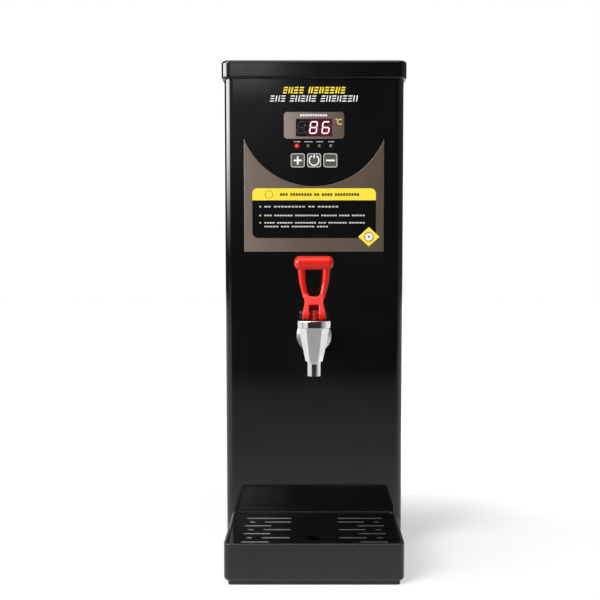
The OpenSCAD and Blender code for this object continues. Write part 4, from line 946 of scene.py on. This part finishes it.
def make_lever(material):
    """The lever as one moulding, with a web that closes the fork above the stem's eye."""
    mesh = nodes["tap_handle"].data.copy()
    pin_low, pin_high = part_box("handle_pin")
    eye_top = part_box("tap_stem")[1].z
    centre = (0, (pin_low.y + pin_high.y) / 2 + WEB_BEHIND, eye_top + WEB_H / 2)
    shape = bmesh.new()
    shape.from_mesh(mesh)
    box_into(shape, centre, (WEB_W, WEB_T, WEB_H))
    shape.to_mesh(mesh)
    shape.free()
    holder = bpy.data.objects.new("lever_copy", mesh)
    scene.collection.objects.link(holder)
    weld(holder)
    skin = holder.modifiers.new("skin", "REMESH")
    skin.mode = "VOXEL"
    skin.voxel_size = 0.4 * MM
    skin.use_smooth_shade = True
    smooth = holder.modifiers.new("smooth", "SMOOTH")
    smooth.factor = 0.5
    smooth.iterations = 16
    lever = add_piece("lever_moulding", settled(holder), material, "tap_lever")
    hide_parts("tap_handle")


def make_spring(material):
    """A round-wire spring that takes the place of the CAD spring."""
    low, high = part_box("tap_spring")
    wire, turns, per_turn, lift = 0.6 * MM, 6, 32, 4 * MM
    coil = (high.x - low.x) / 2 - wire
    x, y = (low.x + high.x) / 2, (low.y + high.y) / 2
    curve = bpy.data.curves.new("spring_wire", "CURVE")
    curve.dimensions = "3D"
    curve.bevel_depth = wire
    curve.bevel_resolution = 3
    curve.use_fill_caps = True
    spline = curve.splines.new("POLY")
    count = turns * per_turn
    spline.points.add(count)
    for i, point in enumerate(spline.points):
        turn = 2 * math.pi * i / per_turn
        z = low.z + wire + (high.z - low.z - 2 * wire) * i / count
        point.co = (x + coil * math.cos(turn), y + coil * math.sin(turn), z, 1)
    holder = bpy.data.objects.new("spring_wire", curve)
    scene.collection.objects.link(holder)
    mesh = settled(holder)
    mesh.polygons.foreach_set("use_smooth", [True] * len(mesh.polygons))
    spring = add_piece("spring_wire", mesh, material)
    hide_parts("tap_spring")
    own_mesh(spring)


def solids(node):
    """The box of each separate solid of a node."""
    shape = bmesh.new()
    shape.from_mesh(nodes[node].data)
    bmesh.ops.remove_doubles(shape, verts=shape.verts, dist=WELD)
    waiting, boxes = set(shape.verts), []
    while waiting:
        front, found = [waiting.pop()], []
        while front:
            vert = front.pop()
            found.append(vert.co.copy())
            near = {edge.other_vert(vert) for edge in vert.link_edges} & waiting
            waiting -= near
            front += near
        boxes.append([Vector([pick(co[i] for co in found) for i in range(3)]) for pick in (min, max)])
    shape.free()
    return boxes


def add_cut(node, name, shape):
    """Cuts a bmesh out of a node."""
    cutter = bpy.data.objects.new(name, mesh_from(shape, name))
    scene.collection.objects.link(cutter)
    cutter.hide_render = cutter.hide_viewport = True
    cut = nodes[node].modifiers.new(name, "BOOLEAN")
    cut.operation = "DIFFERENCE"
    cut.object = cutter
    cut.solver = "EXACT"


def cut_recesses(node, axis, end):
    """Cross recesses in the heads of a node's screws, which point along axis, at its low or high end."""
    long, narrow, depth = 4 * MM, 0.9 * MM, 1.1 * MM
    weld(nodes[node])
    for turn in (0, 1):
        shape = bmesh.new()
        for low, high in solids(node):
            centre = (low + high) / 2
            centre[axis] = (low, high)[end][axis]
            size = [long, narrow] if turn else [narrow, long]
            size.insert(axis, 2 * depth)
            box_into(shape, centre, size)
        add_cut(node, f"{node}_cutter_{turn}", shape)


def cut_thread(node, x, z, radius, y_from, y_to, pitch, depth):
    """A V-groove that winds round a pipe along Y and runs out at both ends."""
    per_turn, run_out = 40, 16
    count = int(per_turn * (y_to - y_from) / pitch)
    groove = [(-0.44, 0.25), (0.0, -1.0), (0.44, 0.25)]
    shape = bmesh.new()
    rings = []
    for i in range(count + 1):
        turn = 2 * math.pi * i / per_turn
        fade = min(1.0, i / run_out, (count - i) / run_out)
        out = Vector((math.cos(turn), 0, math.sin(turn)))
        middle = Vector((x, y_from + (y_to - y_from) * i / count, z))
        reach = [radius + (up if up > 0 else up * fade) * depth for _, up in groove]
        rings.append([shape.verts.new(middle + out * r + Vector((0, side * pitch, 0)))
                      for r, (side, _) in zip(reach, groove)])
    loft(shape, rings)
    weld(nodes[node])
    add_cut(node, f"{node}_thread", shape)


def make_grip(name, node, material, inset, y_from, y_to, count):
    """Half-round ribs along a turned piece, whose surface lies inset from the node's outer radius."""
    low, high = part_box(node)
    x, z, radius = (low.x + high.x) / 2, (low.z + high.z) / 2, (high.x - low.x) / 2 - inset
    rib, taper, tip, sunk = 0.6 * MM, 0.8 * MM, 0.1, 0.2 * MM
    section = arc(0, 0, rib, 0, 180, 7)
    ends = ((y_from, tip), (y_from + taper, 1.0), (y_to - taper, 1.0), (y_to, tip))
    shape = bmesh.new()
    for i in range(count):
        turn = 2 * math.pi * i / count
        out = Vector((math.cos(turn), 0, math.sin(turn)))
        across = Vector((-math.sin(turn), 0, math.cos(turn)))
        rings = []
        for y, swell in ends:
            middle = Vector((x, y, z)) + out * (radius - sunk)
            points = [middle + across * a * swell + out * b * swell for a, b in section]
            rings.append([shape.verts.new(point) for point in points])
        loft(shape, rings)
    add_piece(name, mesh_from(shape, name), material)


def make_louvre_hoods(material):
    """Pressed hoods over the slots of the rear panel."""
    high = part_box("rear_panel")[1]
    shape = bmesh.new()
    for i in range(HOODS):
        z = high.z - HOOD_DROP - i * HOOD_STEP
        section = arc(high.y, z, HOOD_RADIUS, 90, 0, 7)
        section += arc(high.y, z, HOOD_RADIUS - HOOD_WALL, 0, 90, 7)
        loft(shape, [[shape.verts.new((x, *point)) for point in section] for x in (-HOOD_W / 2, HOOD_W / 2)])
    add_piece("louvre_hoods", mesh_from(shape, "louvre_hoods"), material)


def make_rear_details(finishes):
    """Screw recesses, the inlet's thread, grips and the hoods of the louvres."""
    for node in ("rear_screws", "lid_screws"):
        cut_recesses(node, 1, 1)
    cut_recesses("foot_screws", 2, 0)
    pipe_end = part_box("inlet_valve")[1].y
    nut_low, nut_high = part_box("inlet_lock_nut")
    x, z = (nut_low.x + nut_high.x) / 2, (nut_low.z + nut_high.z) / 2
    y_from, y_to = nut_high.y + 1.5 * PIPE_PITCH, pipe_end + PIPE_PITCH
    cut_thread("inlet_valve", x, z, PIPE_RADIUS, y_from, y_to, PIPE_PITCH, THREAD_DEPTH)
    cap_low, cap_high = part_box("drain_cap")
    make_grip("drain_grip", "drain_cap", finishes["bright_steel"],
              inset=0.0, y_from=cap_low.y + MM, y_to=cap_high.y - 2 * MM, count=24)
    dome_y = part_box("cord_gland")[1].y - DOME_LENGTH
    make_grip("gland_grip", "cord_gland", finishes["black_plastic"],
              inset=2 * MM, y_from=dome_y + 0.5 * MM, y_to=dome_y + 7.5 * MM, count=16)
    make_louvre_hoods(finishes["panel_paint"])


make_camera()
make_studio()
make_floor()
finishes = dress_nodes()
make_readout()
make_prints()
make_lever(finishes["lever_red"])
make_spring(finishes["bright_steel"])
for plate in ("info_plate", "display_bezel"):
    soften_edges(plate)
make_rear_details(finishes)
